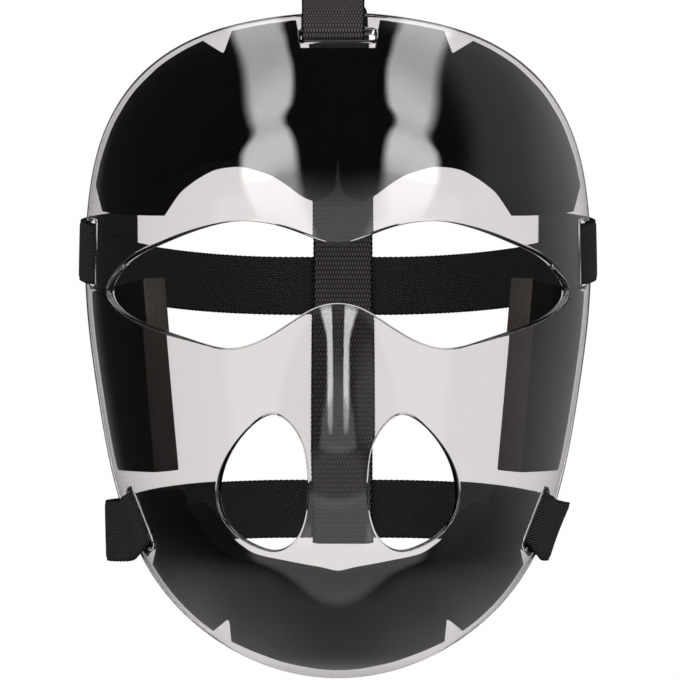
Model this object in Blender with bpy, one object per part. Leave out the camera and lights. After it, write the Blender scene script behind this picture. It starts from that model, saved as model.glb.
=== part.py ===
"""Field hockey face mask: a clear moulded shell, four foam pads, two elastic straps and a crown strap.

Metres, +Z up. The mask faces -Y and +X is the viewer's right. The origin is the head seat: on the
mid-plane, at eye height, on the plane of the forehead pad's inner face.
"""
import math
from collections import namedtuple

import bmesh
import bpy
import numpy as np

# Shell
SHELL_HALF_WIDTH = 0.0956     # at its widest, at the temples
WIDEST_HEIGHT = 0.0066        # level of the widest place above the eye line
RIM_RISE = 0.0961             # top of the rim above that level
RIM_DROP = 0.1506             # lowest point of the rim below that level
TEMPLE_DEPTH = 0.075          # how far behind the origin the rim lies at the temples
FACE_DEPTH = 0.027            # how far the muzzle stands before the origin
SHELL_WALL = 0.0035
SIDE_ROUNDNESS = 0.95         # 1 is a half ellipse across the face, less leaves the sides flared
NOSE_HEIGHT = 0.013           # of the ridge over the face at the tip of the nose
NOSE_HALF_WIDTH = 0.0155      # of that ridge

# Openings in the shell
TEMPLE_BAND = 0.0091          # shell left between the eye opening and the rim, seen from the front
EYE_RISE = 0.0180             # top of the eye opening above the widest level
EYE_DROP = 0.0284             # lowest point of the eye opening below the widest level
NOSE_STRIP = 0.0226           # shell left between the two breathing holes
BREATHING_WIDTH = 0.0330
BREATHING_HEIGHT = 0.0492
BREATHING_LEVEL = 0.0709      # middle of a breathing hole below the eye line
SLOT_WIDTH = 0.0052
SLOT_CORNER = 0.0009          # radius of a slot's corners
SLOT_CUT = 0.012              # to each side of the wall that a slot's cutter reaches
BREATHING_CUT = 0.030         # the same for a breathing hole's cutter
SLOT_ROOM = 0.0012            # past each edge of an elastic in its slot
CROWN_SLOT_ROOM = 0.0025      # past each edge of the webbing in its slot

# Straps
ELASTIC_WIDTH = 0.0226
WEBBING_WIDTH = 0.0230
STRAP_THICKNESS = 0.0015
UPPER_SLOT_TURN = 85.2        # degrees round the rim from its top
UPPER_SETBACK = 0.0110        # middle of the slot from the edge of the rim, along the wall
UPPER_BACK_HEIGHT = 0.0022    # of the upper elastic behind the head, over the eye line
LOWER_SLOT_TURN = 142.6
LOWER_SETBACK = 0.0155
LOWER_BACK_DEPTH = 0.0852     # of the lower elastic behind the head, below the eye line
CROWN_SETBACK = 0.0125
HEAD_LENGTH = 0.196           # origin to the elastics behind the head
UPPER_SLOPE = -0.28           # of the upper elastic as it leaves the rim, down for each metre back
UPPER_HANDLES = (0.024, 0.045)    # of the upper elastic's curve, at the rim and behind the head
LOWER_SLOPE = -0.04
LOWER_HANDLES = (0.030, 0.055)
LOWER_SKEW = 0.30             # of the lower elastic across its slots, up for each metre to the rim
LOWER_STANDS = (0.0072, 0.0028)   # of its left and right loops off the rim
LOOP_LENGTH = 0.034           # of the part that stands off
LOOP_TWISTS = (0.016, 0.120)  # length over which the left and right loops turn upright
UPPER_TWIST = 0.120           # length over which the upper elastic's ends turn upright
TWIST_SHARE = 0.6             # of an elastic's run from the rim over which it turns upright
BACK_FLAT = 0.0163            # of the elastics' straight run behind the head, to each side
CROWN_HEIGHT = 0.1060         # top of the crown strap's run over the eye line
CROWN_MIDDLE = 0.088          # where it reaches that height, behind the origin
CROWN_HANDLES = (0.011, 0.034, 0.060, 0.052)  # of its curve: the rim, its top, its top, the knee
CROWN_SLIP = 0.0018           # of the webbing to one side in its slot
CROWN_BACK_SHIFT = 0.0019     # of the webbing to the other side behind the head
CROWN_TAIL_LAP = 0.018        # of the webbing's end above the upper elastic
TAIL_LENGTH = 0.062           # of each free strap end behind the rim
TAIL_RISE = 0.0060            # of the upper elastic's ends above its slot
MERGE_LENGTH = 0.045          # over which an elastic's end comes down on to the strap
CROWN_MERGE = 0.026           # the same for the webbing

# Pads
FOAM = 0.010
PAD_INSET = 0.0008            # of a pad's edge from the edge of the rim
DART_DEPTH = 0.0085           # of the darts cut from the pads' outer edges
CHEEK_FRONT = 0.0197          # front edge of a cheek pad from the rim, seen from the front
CHEEK_LEAN = 0.0060           # of that edge to the middle, from its top to its bottom
CHEEK_TOP_RISE = 0.0045       # of a cheek pad's top edge from the rim to its front corner
CHEEK_BOTTOM_ROOM = 0.0064    # left between a cheek pad and the lower slot
STRAP_ROOM = 0.0016           # left between a slot and the pads round it
RIM_REACH = 0.0015            # of the strap along the wall that ends before the rim's edge

CLEARANCE = 0.0003            # between pieces that touch
BEND_CLEARANCE = 0.0005       # inside the shell's curved wall

# Rim from its top round one side to its lowest point, as shares of the half width, of the rise
# or the drop, and of the temple depth
RimRow = namedtuple("RimRow", "across height depth")
RIM = [RimRow(*row) for row in (
    (0.000, 1.000, 0.24),
    (0.265, 0.980, 0.29),
    (0.534, 0.916, 0.44),
    (0.774, 0.768, 0.64),
    (0.928, 0.532, 0.83),
    (0.988, 0.263, 0.95),
    (1.000, 0.000, 1.00),
    (0.981, -0.167, 1.00),
    (0.939, -0.344, 0.93),
    (0.868, -0.552, 0.80),
    (0.703, -0.775, 0.56),
    (0.395, -0.939, 0.29),
    (0.000, -1.000, 0.16),
)]

# Profile of the face on the mid-plane without the nose, as shares of the rise or the drop and of
# the face depth
ProfileRow = namedtuple("ProfileRow", "height depth")
PROFILE = [ProfileRow(*row) for row in (
    (-1.000, 0.44),
    (-0.969, -0.15),
    (-0.929, -0.52),
    (-0.862, -0.83),
    (-0.781, -0.97),
    (-0.681, -1.00),
    (-0.547, -0.95),
    (-0.413, -0.86),
    (-0.279, -0.77),
    (-0.145, -0.69),
    (0.000, -0.64),
    (0.141, -0.62),
    (0.268, -0.58),
    (0.405, -0.49),
    (0.542, -0.36),
    (0.668, -0.19),
    (0.805, 0.05),
    (0.921, 0.35),
    (1.000, 0.66),
)]

# Nose ridge down the mid-plane, as shares of the drop, of the nose height and of its half width
NoseRow = namedtuple("NoseRow", "height rise half_width")
NOSE = [NoseRow(*row) for row in (
    (-1.00, 0.00, 1.10),
    (-0.66, 0.00, 1.10),
    (-0.56, 0.12, 1.10),
    (-0.49, 0.55, 1.06),
    (-0.42, 0.95, 1.02),
    (-0.36, 1.00, 1.00),
    (-0.28, 0.90, 0.97),
    (-0.17, 0.66, 0.90),
    (-0.06, 0.38, 0.84),
    (0.10, 0.15, 0.84),
    (0.40, 0.00, 0.84),
)]

# Where the domed face gives way to a rounder muzzle, which begins, is full, begins to end and has
# ended at these shares of the drop
MUZZLE = (0.08, 0.40, 0.70, 0.94)
MUZZLE_SHARE = 0.7            # of the way from the one to the other where it is full

# Eye opening from its top middle round the tip to the nose bridge, as shares of its half width
# and of its rise or its drop
OutlineRow = namedtuple("OutlineRow", "across height")
EYE = [OutlineRow(*row) for row in (
    (0.000, 0.53),
    (0.125, 0.68),
    (0.233, 0.87),
    (0.326, 0.97),
    (0.414, 1.00),
    (0.507, 0.95),
    (0.640, 0.78),
    (0.788, 0.51),
    (0.897, 0.26),
    (0.972, -0.07),
    (1.000, -0.30),
    (0.978, -0.43),
    (0.929, -0.56),
    (0.788, -0.75),
    (0.632, -0.90),
    (0.493, -1.00),
    (0.418, -0.99),
    (0.354, -0.93),
    (0.241, -0.74),
    (0.166, -0.59),
    (0.090, -0.47),
    (0.000, -0.42),
)]

# Breathing hole, round from its upper point on the outer side, as shares of half its width and
# half its height
BREATHING = [OutlineRow(*row) for row in (
    (-0.25, 1.00),
    (0.12, 0.90),
    (0.46, 0.68),
    (0.86, 0.26),
    (1.00, -0.15),
    (0.92, -0.46),
    (0.60, -0.75),
    (0.12, -0.94),
    (-0.36, -1.00),
    (-0.69, -0.88),
    (-0.90, -0.62),
    (-1.00, -0.25),
    (-0.99, 0.15),
    (-0.88, 0.56),
    (-0.60, 0.86),
)]

# Forehead pad below the crown slot, from its middle slit out: its free edge as shares of the
# shell's half width and rise
BROW = [OutlineRow(*row) for row in (
    (0.000, 0.458),
    (0.014, 0.350),
    (0.024, 0.336),
    (0.059, 0.305),
    (0.112, 0.287),
    (0.126, 0.287),
)]

# Forehead pad from there to the temple: the free edge in the same shares, where the line from
# there meets the rim, in degrees from the top, and whether it ends at the point of a dart
PadRow = namedtuple("PadRow", "across height turn dart")
FOREHEAD = [PadRow(*row) for row in (
    (0.166, 0.300, 11.6, 0),
    (0.220, 0.345, 14.5, 0),
    (0.298, 0.394, 17.8, 0),
    (0.384, 0.418, 21.0, 0),
    (0.418, 0.425, 24.0, 0),
    (0.456, 0.427, 28.0, 1),
    (0.509, 0.421, 30.5, 0),
    (0.563, 0.410, 34.5, 0),
    (0.641, 0.368, 41.0, 0),
    (0.715, 0.314, 49.0, 0),
)]

# Forehead pad above the upper slot: how far its edge is across, as a share of the half width,
# how far it stands over the room left for the strap, and the turn in degrees
TempleRow = namedtuple("TempleRow", "across above turn")
TEMPLE = [TempleRow(*row) for row in (
    (0.785, 0.0000, 57.0),
    (0.870, 0.0003, 64.5),
    (0.940, 0.0019, 70.5),
)]

# Chin pad from the middle to the jaw, in the forehead's columns, with heights as shares of the
# drop
CHIN = [PadRow(*row) for row in (
    (0.000, -0.738, 180.0, 0),
    (0.073, -0.728, 177.0, 0),
    (0.222, -0.722, 171.5, 0),
    (0.314, -0.715, 166.0, 0),
    (0.335, -0.713, 163.6, 0),
    (0.352, -0.711, 162.2, 1),
    (0.370, -0.708, 160.6, 0),
    (0.415, -0.701, 158.0, 0),
    (0.500, -0.666, 155.0, 0),
    (0.560, -0.608, 152.4, 0),
    (0.621, -0.575, 150.4, 0),
    (0.665, -0.595, 149.2, 0),
)]

# Chin pad's tab before the lower slot: the free edge in the same shares, and where along the slot
# the line from there ends, as a share of half its length, from its lower end
TabRow = namedtuple("TabRow", "across height along")
TAB = [TabRow(*row) for row in (
    (0.700, -0.590, -1.15),
    (0.705, -0.560, -0.55),
    (0.722, -0.548, 0.05),
    (0.752, -0.544, 0.60),
)]

HALF_COLUMNS = 46             # shell facets round one half
SHELL_ROWS = 14               # shell facets from the eye opening to the rim
PAD_ROWS = 6
BEND_REACH = 0.045            # length that counts as much as one radian of bend when facets are set
STATION_STEP = 0.0085         # longest distance between a pad's stations
TAIL_STEPS = 11
BACK_STEPS = 26               # of an elastic from the rim to behind the head
CROWN_STEPS = (10, 16)        # of the webbing from the rim to its top, and on to the knee
TABLE_STEPS = 1500            # of the tables that heights and turns are read from
EYE_HALF_WIDTH = SHELL_HALF_WIDTH - TEMPLE_BAND


def clear_scene():
    """Start from an empty scene."""
    for thing in list(bpy.data.objects):
        bpy.data.objects.remove(thing, do_unlink=True)


def spline(knots, values, flat=False):
    """A cubic curve through the rows, free at its ends or level there, as a function."""
    at = np.array(knots, float)
    value = np.array(values, float)
    step = np.diff(at)
    slope = np.diff(value) / step
    count = len(at)
    matrix = np.zeros((count, count))
    right = np.zeros(count)
    for i in range(1, count - 1):
        matrix[i, i - 1:i + 2] = step[i - 1], 2 * (step[i - 1] + step[i]), step[i]
        right[i] = 6 * (slope[i] - slope[i - 1])
    matrix[0, 0] = matrix[-1, -1] = 1
    if flat:
        matrix[0, :2] = 2 * step[0], step[0]
        right[0] = 6 * slope[0]
        matrix[-1, -2:] = step[-1], 2 * step[-1]
        right[-1] = -6 * slope[-1]
    bend = np.linalg.solve(matrix, right)

    def curve(place):
        place = np.asarray(place, float)
        i = np.clip(np.searchsorted(at, place) - 1, 0, count - 2)
        left = (at[i + 1] - place) / step[i]
        near = (place - at[i]) / step[i]
        cubic = (left**3 - left) * bend[i] + (near**3 - near) * bend[i + 1]
        return left * value[i] + near * value[i + 1] + cubic * step[i]**2 / 6

    return curve


def real_height(share, rise, drop):
    """Turn a height share into metres over the widest level."""
    return share * (rise if share > 0 else drop)


def rim_curves():
    """The rim's distance from the middle and its depth, over the turn from the top in radians."""
    turns, radii, depths = [], [], []
    for row in RIM:
        x = row.across * SHELL_HALF_WIDTH
        up = real_height(row.height, RIM_RISE, RIM_DROP)
        turns.append(math.atan2(x, up))
        radii.append(math.hypot(x, up))
        depths.append(row.depth * TEMPLE_DEPTH)
    return spline(turns, radii, flat=True), spline(turns, depths, flat=True)


rim_radius, rim_depth = rim_curves()
profile = spline([real_height(row.height, RIM_RISE, RIM_DROP) for row in PROFILE],
                 [row.depth * FACE_DEPTH for row in PROFILE])
nose_rise = spline([row.height * RIM_DROP for row in NOSE],
                   [row.rise * NOSE_HEIGHT for row in NOSE])
nose_width = spline([row.height * RIM_DROP for row in NOSE],
                    [row.half_width * NOSE_HALF_WIDTH for row in NOSE])


def jaw_rim(up):
    """The rim's distance across and its depth at a height below the widest level."""
    turns = np.linspace(math.pi, math.pi / 2, TABLE_STEPS)
    radius = rim_radius(turns)
    heights = radius * np.cos(turns)
    return (np.interp(up, heights, radius * np.sin(turns)),
            np.interp(up, heights, rim_depth(turns)))


def smooth_share(share):
    """A share from 0 to 1 that starts and ends gently."""
    share = np.clip(share, 0, 1)
    return share * share * (3 - 2 * share)


def bow(share):
    """The part of the way back to the rim that a section has gone at a share of its width."""
    full = 1 - math.sqrt(1 - SIDE_ROUNDNESS**2)
    share = np.minimum(share, 1.04)
    return (1 - np.sqrt(1 - (SIDE_ROUNDNESS * share)**2)) / full


def shell_depth(x, z):
    """How far back the shell's outer face lies at a place in the front view."""
    up = z - WIDEST_HEIGHT
    turn = np.arctan2(np.abs(x), up)
    radius = rim_radius(turn)
    middle = profile(up)
    domed = (rim_depth(turn) - profile(radius * np.cos(turn))) * bow(np.hypot(x, up) / radius)
    jaw_width, jaw_depth = jaw_rim(up)
    level = (jaw_depth - middle) * bow(np.abs(x) / np.maximum(jaw_width, 1e-4))
    down = -up / RIM_DROP
    muzzle = smooth_share((down - MUZZLE[0]) / (MUZZLE[1] - MUZZLE[0]))
    muzzle = muzzle * (1 - smooth_share((down - MUZZLE[2]) / (MUZZLE[3] - MUZZLE[2])))
    ridge = nose_rise(up) * np.exp(-(x / nose_width(up))**2)
    return middle + domed + MUZZLE_SHARE * muzzle * (level - domed) - ridge


def shell_point(x, z, inward=0.0):
    """A point on the shell's outer face, or that far inside it along the normal, and the normal."""
    reach = 1e-4
    slope_x = (shell_depth(x + reach, z) - shell_depth(x - reach, z)) / (2 * reach)
    slope_z = (shell_depth(x, z + reach) - shell_depth(x, z - reach)) / (2 * reach)
    normal = np.stack([slope_x, -np.ones_like(slope_x), slope_z], axis=-1)
    normal /= np.linalg.norm(normal, axis=-1, keepdims=True)
    point = np.stack([x, shell_depth(x, z), z], axis=-1)
    return point - inward * normal, normal


def rim_place(turn, inset=0.0):
    """A place on the rim in the front view, or that far inside it, for a turn in radians."""
    radius = rim_radius(abs(turn)) - inset
    return radius * math.sin(turn), WIDEST_HEIGHT + radius * math.cos(turn)


def even_steps(points, count):
    """Shares along a line of points that cut it into equal lengths."""
    lengths = np.linalg.norm(np.diff(points, axis=0), axis=1)
    travelled = np.concatenate([[0], np.cumsum(lengths)])
    shares = np.linspace(0, 1, len(points))
    return np.interp(np.linspace(0, travelled[-1], count + 1), travelled, shares)


def line_on_shell(start, end, count):
    """Front-view places from start to end along the shell's face, closer where it bends."""
    shares = np.linspace(0, 1, 41)[:, None]
    places = (1 - shares) * np.array(start) + shares * np.array(end)
    points, normals = shell_point(places[:, 0], places[:, 1])
    steps = even_steps(np.hstack([points, BEND_REACH * normals]), count)[:, None]
    return (1 - steps) * np.array(start) + steps * np.array(end)


def material(name, colour, roughness, alpha=1.0):
    """A plain finish with the piece's colour and roughness."""
    finish = bpy.data.materials.new(name)
    finish.use_nodes = True
    shader = finish.node_tree.nodes["Principled BSDF"]
    shader.inputs["Base Color"].default_value = (*colour, 1.0)
    shader.inputs["Roughness"].default_value = roughness
    shader.inputs["Metallic"].default_value = 0.0
    shader.inputs["Alpha"].default_value = alpha
    return finish


def add_solid(name, vertices, faces, finish=None):
    """Make a closed object from points and faces, with its faces turned outwards."""
    mesh = bpy.data.meshes.new(name)
    mesh.from_pydata([tuple(map(float, v)) for v in vertices], [], faces)
    work = bmesh.new()
    work.from_mesh(mesh)
    bmesh.ops.recalc_face_normals(work, faces=work.faces)
    work.to_mesh(mesh)
    work.free()
    mesh.shade_smooth()
    mesh.set_sharp_from_angle(angle=math.radians(40))
    solid = bpy.data.objects.new(name, mesh)
    bpy.context.scene.collection.objects.link(solid)
    if finish:
        mesh.materials.append(finish)
    return solid


def grid_solid(name, layers, closed, finish=None):
    """A solid between two grids of points, open or closed along their first direction."""
    outer, inner = layers
    columns, rows = outer.shape[:2]
    size = columns * rows
    vertices = np.concatenate([outer.reshape(-1, 3), inner.reshape(-1, 3)])

    def at(layer, column, row):
        return layer * size + (column % columns) * rows + row

    faces = []
    for c in range(columns if closed else columns - 1):
        for r in range(rows - 1):
            for layer in (0, 1):
                faces.append((at(layer, c, r), at(layer, c + 1, r),
                              at(layer, c + 1, r + 1), at(layer, c, r + 1)))
        for r in (0, rows - 1):
            faces.append((at(0, c, r), at(0, c + 1, r), at(1, c + 1, r), at(1, c, r)))
    if not closed:
        for c in (0, columns - 1):
            for r in range(rows - 1):
                faces.append((at(0, c, r), at(0, c, r + 1), at(1, c, r + 1), at(1, c, r)))
    return add_solid(name, vertices, faces, finish)


def prism(name, outline, along):
    """A cutter: a flat outline carried through by the vector along."""
    count = len(outline)
    vertices = [np.array(p) - along for p in outline] + [np.array(p) + along for p in outline]
    faces = [tuple(range(count)), tuple(range(count, 2 * count))]
    for i in range(count):
        j = (i + 1) % count
        faces.append((i, j, count + j, count + i))
    cutter = add_solid(name, vertices, faces)
    cutter.hide_render = True
    cutter.display_type = "WIRE"
    return cutter


def cut(solid, cutter):
    """Take the cutter out of the solid."""
    modifier = solid.modifiers.new(cutter.name, "BOOLEAN")
    modifier.operation = "DIFFERENCE"
    modifier.solver = "EXACT"
    modifier.object = cutter


def half_outline(rows, half_width, rise, drop, count):
    """Places down one half of a symmetric outline, evenly spaced from its top to its bottom."""
    x = np.array([row.across * half_width for row in rows])
    z = np.array([real_height(row.height, rise, drop) for row in rows]) + WIDEST_HEIGHT
    run = np.concatenate([[0], np.cumsum(np.hypot(np.diff(x), np.diff(z)))])
    fine = np.linspace(0, run[-1], 400)
    places = np.stack([spline(run, x)(fine), spline(run, z, flat=True)(fine)], axis=-1)
    steps = even_steps(places, count) * run[-1]
    return np.stack([spline(run, x)(steps), spline(run, z, flat=True)(steps)], axis=-1)


def half_rim(count):
    """Places down one half of the rim, evenly spaced along it."""
    turns = np.linspace(0, math.pi, 400)
    radius = rim_radius(turns)
    x, z = radius * np.sin(turns), WIDEST_HEIGHT + radius * np.cos(turns)
    points = np.stack([x, rim_depth(turns), z], axis=-1)
    turns = even_steps(points, count) * math.pi
    radius = rim_radius(turns)
    return np.stack([radius * np.sin(turns), WIDEST_HEIGHT + radius * np.cos(turns)], axis=-1)


def whole(half):
    """Add the mirrored half to an outline that runs from its top to its bottom."""
    mirrored = half[1:-1][::-1] * np.array([-1, 1])
    return np.concatenate([half, mirrored])


def breathing_cutter(side):
    """The cutter of one breathing hole, square to the shell at the hole's middle."""
    middle = side * (NOSE_STRIP + BREATHING_WIDTH) / 2
    x = [middle + side * row.across * BREATHING_WIDTH / 2 for row in BREATHING]
    z = [-BREATHING_LEVEL + row.height * BREATHING_HEIGHT / 2 for row in BREATHING]
    x, z = np.array(x + x[:1]), np.array(z + z[:1])
    run = np.concatenate([[0], np.cumsum(np.hypot(np.diff(x), np.diff(z)))])
    looped = np.concatenate([run[-4:-1] - run[-1], run, run[1:4] + run[-1]])
    curve_x = spline(looped, np.concatenate([x[-4:-1], x, x[1:4]]))
    curve_z = spline(looped, np.concatenate([z[-4:-1], z, z[1:4]]))
    steps = np.linspace(0, run[-1], 33)[:-1]
    points, normals = shell_point(curve_x(steps), curve_z(steps))
    direction = normals.mean(axis=0)
    direction /= np.linalg.norm(direction)
    centre = points.mean(axis=0)
    flat = points - ((points - centre) @ direction)[:, None] * direction
    return prism(f"breathing_cutter_{'right' if side > 0 else 'left'}", flat, direction * BREATHING_CUT)


def unit(vector):
    """The vector at length 1."""
    return vector / np.linalg.norm(vector)


def foot_on_shell(point, normal):
    """Where the line through a point along the normal meets the shell's outer face."""
    place = point.copy()
    for _ in range(8):
        miss = place[1] - float(shell_depth(place[0], place[2]))
        _, steep = shell_point(np.array(place[0]), np.array(place[2]))
        place = place - normal * miss / float(normal @ (steep / steep[1]))
    return place


class Slot:
    """A strap slot near the rim, with axes along the rim, back to its edge, and outwards."""

    def __init__(self, name, turn, setback, length):
        self.name = name
        self.setback = setback
        self.length = length
        x, z = rim_place(turn)
        edge, normal = shell_point(np.array(x), np.array(z))
        before, after = rim_place(turn - 0.01), rim_place(turn + 0.01)
        start, _ = shell_point(np.array(before[0]), np.array(before[1]))
        end, _ = shell_point(np.array(after[0]), np.array(after[1]))
        along = unit(start - end)
        back = unit(np.cross(along, normal))
        self.centre = foot_on_shell(edge - back * setback, normal)
        _, self.normal = shell_point(np.array(self.centre[0]), np.array(self.centre[2]))
        self.back = unit(back - (back @ self.normal) * self.normal)
        self.along = unit(np.cross(self.normal, self.back))

    def at(self, back, outward, along=0.0):
        """A point so far from the slot's middle: back along the wall, out from it and along it."""
        foot = foot_on_shell(self.centre + self.back * back + self.along * along, self.normal)
        _, normal = shell_point(np.array(foot[0]), np.array(foot[2]))
        return foot + normal * outward

    def sag(self, back, along, width):
        """How far the wall curves away inwards under the edges of a strap of that width."""
        middle = self.at(back, 0.0, along)
        _, normal = shell_point(np.array(middle[0]), np.array(middle[2]))
        drops = []
        for way in (1, -1):
            side = foot_on_shell(middle + self.along * way * width / 2, self.normal)
            drops.append(float((middle - side) @ normal))
        return max(0.0, *drops)

    def end(self, which, room=0.0, back=0.0):
        """The place in the front view of the slot's upper (1) or lower (-1) end, or behind it."""
        point = self.at(back, 0.0) + self.along * which * (self.length / 2 + room)
        return point[0], point[2]

    def cutter(self, side=1):
        """The round-cornered cutter of the slot, or of its mirror image."""
        outline = []
        for step in range(16):
            angle = 2 * math.pi * (step + 0.5) / 16
            up = math.copysign(self.length / 2 - SLOT_CORNER, math.sin(angle))
            out = math.copysign(SLOT_WIDTH / 2 - SLOT_CORNER, math.cos(angle))
            outline.append(self.centre + self.along * (up + SLOT_CORNER * math.sin(angle))
                           + self.back * (out + SLOT_CORNER * math.cos(angle)))
        mirror = np.array([side, 1, 1])
        return prism(f"{self.name}_cutter_{'right' if side > 0 else 'left'}",
                     [point * mirror for point in outline], self.normal * mirror * SLOT_CUT)


upper_slot = Slot("upper_slot", math.radians(UPPER_SLOT_TURN), UPPER_SETBACK,
                  ELASTIC_WIDTH + 2 * SLOT_ROOM)
lower_slot = Slot("lower_slot", math.radians(LOWER_SLOT_TURN), LOWER_SETBACK,
                  ELASTIC_WIDTH + 2 * SLOT_ROOM)
crown_slot = Slot("crown_slot", 0.0, CROWN_SETBACK, WEBBING_WIDTH + 2 * CROWN_SLOT_ROOM)


def make_shell(finish):
    """The clear shell with its eye opening, breathing holes and slots."""
    inner_line = whole(half_outline(EYE, EYE_HALF_WIDTH, EYE_RISE, EYE_DROP, HALF_COLUMNS))
    rim_line = whole(half_rim(HALF_COLUMNS))
    lines = [line_on_shell(start, end, SHELL_ROWS) for start, end in zip(inner_line, rim_line)]
    places = np.array(lines)
    outer, normals = shell_point(places[..., 0], places[..., 1])
    shell = grid_solid("shell", (outer, outer - SHELL_WALL * normals), True, finish)
    for side in (1, -1):
        cut(shell, breathing_cutter(side))
        cut(shell, upper_slot.cutter(side))
        cut(shell, lower_slot.cutter(side))
    cut(shell, crown_slot.cutter())
    return shell


def pad_solid(name, stations, finish):
    """A foam pad behind the shell, between the two front-view places of each station."""
    lines = [line_on_shell(start, end, PAD_ROWS) for start, end in stations]
    places = np.array(lines)
    outer, normals = shell_point(places[..., 0], places[..., 1], SHELL_WALL + BEND_CLEARANCE)
    return grid_solid(name, (outer, outer - FOAM * normals), False, finish)


def finer(stations, longest):
    """Add stations between the given ones where they lie further apart than the longest step."""
    result = [stations[0]]
    for before, after in zip(stations, stations[1:]):
        gap = max(math.dist(before[0], after[0]), math.dist(before[1], after[1]))
        pieces = max(1, math.ceil(gap / longest))
        for step in range(1, pieces + 1):
            share = step / pieces
            result.append(tuple(tuple((1 - share) * a + share * b for a, b in zip(start, end))
                                for start, end in zip(before, after)))
    return result


def mirrored(stations):
    """Stations of a whole pad from those of its right half, left end first."""
    left = [tuple((-x, z) for x, z in station) for station in stations[:0:-1]]
    return left + stations


def pad_rows(rows, rise):
    """Stations from a pad's table: the free edge's place and the rim side's place."""
    stations = []
    for row in rows:
        edge = (row.across * SHELL_HALF_WIDTH, WIDEST_HEIGHT + row.height * rise)
        inset = DART_DEPTH if row.dart else PAD_INSET
        stations.append((edge, rim_place(math.radians(row.turn), inset)))
    return stations


def place_turn(place):
    """The turn from the top of a place in the front view, and its distance from the middle."""
    up = place[1] - WIDEST_HEIGHT
    return math.atan2(place[0], up), math.hypot(place[0], up)


def make_forehead_pad(finish):
    """The forehead pad, which ends above the upper slots."""
    notch = crown_slot.length / 2 + STRAP_ROOM
    notch_height = crown_slot.centre[2] - SLOT_WIDTH / 2 - STRAP_ROOM
    stations = []
    for number, row in enumerate(BROW[:-1]):
        edge = (row.across * SHELL_HALF_WIDTH, WIDEST_HEIGHT + row.height * RIM_RISE)
        stations.append((edge, (notch * number / (len(BROW) - 2), notch_height)))
    beside = math.asin((notch + CLEARANCE) / float(rim_radius(0.0)))
    edge = (BROW[-1].across * SHELL_HALF_WIDTH, WIDEST_HEIGHT + BROW[-1].height * RIM_RISE)
    stations.append((edge, rim_place(beside, PAD_INSET)))
    stations += pad_rows(FOREHEAD, RIM_RISE)
    side_height = upper_slot.end(1)[1] + STRAP_ROOM
    for row in TEMPLE:
        edge = (row.across * SHELL_HALF_WIDTH, side_height + row.above)
        stations.append((edge, rim_place(math.radians(row.turn), PAD_INSET)))
    return pad_solid("forehead_pad", mirrored(finer(stations, STATION_STEP)), finish)


def make_cheek_pad(side, finish):
    """A cheek pad between the upper and the lower slot."""
    top = upper_slot.end(-1)[1] - STRAP_ROOM
    bottom = lower_slot.end(1)[1] + CHEEK_BOTTOM_ROOM
    stations = []
    for share in np.linspace(0, 1, 10):
        rim_turn = np.interp(top + share * (bottom - top), *rim_heights())
        rim_x, rim_z = rim_place(float(rim_turn), PAD_INSET)
        front_z = rim_z + CHEEK_TOP_RISE * (1 - share)
        front_x = SHELL_HALF_WIDTH - CHEEK_FRONT - CHEEK_LEAN * share
        stations.append(((side * front_x, front_z), (side * rim_x, rim_z)))
    return pad_solid(f"cheek_pad_{'right' if side > 0 else 'left'}", stations, finish)


def rim_heights():
    """Rim heights, rising, and the turns in radians that reach them."""
    turns = np.linspace(math.pi, 0, 400)
    return WIDEST_HEIGHT + rim_radius(turns) * np.cos(turns), turns


def make_chin_pad(finish):
    """The chin pad, whose ends rise as tabs before the lower slots."""
    stations = pad_rows(CHIN, RIM_DROP)
    beside = lower_slot.end(-1, STRAP_ROOM, lower_slot.setback)
    across = (CHIN[-1].across + TAB[0].across) / 2
    height = (CHIN[-1].height + TAB[0].height) / 2
    stations.append(((across * SHELL_HALF_WIDTH, WIDEST_HEIGHT + height * RIM_DROP),
                     rim_place(place_turn(beside)[0], PAD_INSET)))
    for row in TAB:
        edge = (row.across * SHELL_HALF_WIDTH, WIDEST_HEIGHT + row.height * RIM_DROP)
        limit = lower_slot.at(-SLOT_WIDTH / 2 - STRAP_ROOM, 0.0)
        limit = limit + lower_slot.along * row.along * lower_slot.length / 2
        stations.append((edge, (limit[0], limit[2])))
    return pad_solid("chin_pad", mirrored(finer(stations, STATION_STEP)), finish)


def bezier(start, start_way, end_way, end, count):
    """Points on a curve from start to end, without its first point."""
    share = np.linspace(0, 1, count + 1)[1:, None]
    rest = 1 - share
    return (rest**3 * start + 3 * rest**2 * share * (start + start_way)
            + 3 * rest * share**2 * (end + end_way) + share**3 * end)


def fold(centre, start_way, turn_way, count):
    """A half turn about the centre from its start way through its turn way, ends left out."""
    angles = np.linspace(0, math.pi, count + 2)[1:-1]
    return [centre + start_way * math.cos(a) + turn_way * math.sin(a) for a in angles]


def ribbon(name, path, across, width, finish):
    """A flat strap of the given width swept along a path; across holds its width directions."""
    path = np.array(path)
    across = np.array(across)
    ahead = np.gradient(path, axis=0)
    ahead /= np.linalg.norm(ahead, axis=1, keepdims=True)
    across = across - np.sum(across * ahead, axis=1, keepdims=True) * ahead
    across /= np.linalg.norm(across, axis=1, keepdims=True)
    out = np.cross(ahead, across) * STRAP_THICKNESS / 2
    side = across * width / 2
    corners = np.stack([path + side + out, path - side + out, path - side - out,
                        path + side - out], axis=1)
    count = len(path)
    faces = [(0, 1, 2, 3), tuple(4 * (count - 1) + i for i in range(4))]
    for station in range(count - 1):
        for i in range(4):
            j = (i + 1) % 4
            faces.append((4 * station + i, 4 * station + j, 4 * station + 4 + j,
                          4 * station + 4 + i))
    return add_solid(name, corners.reshape(-1, 3), faces, finish)


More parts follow.
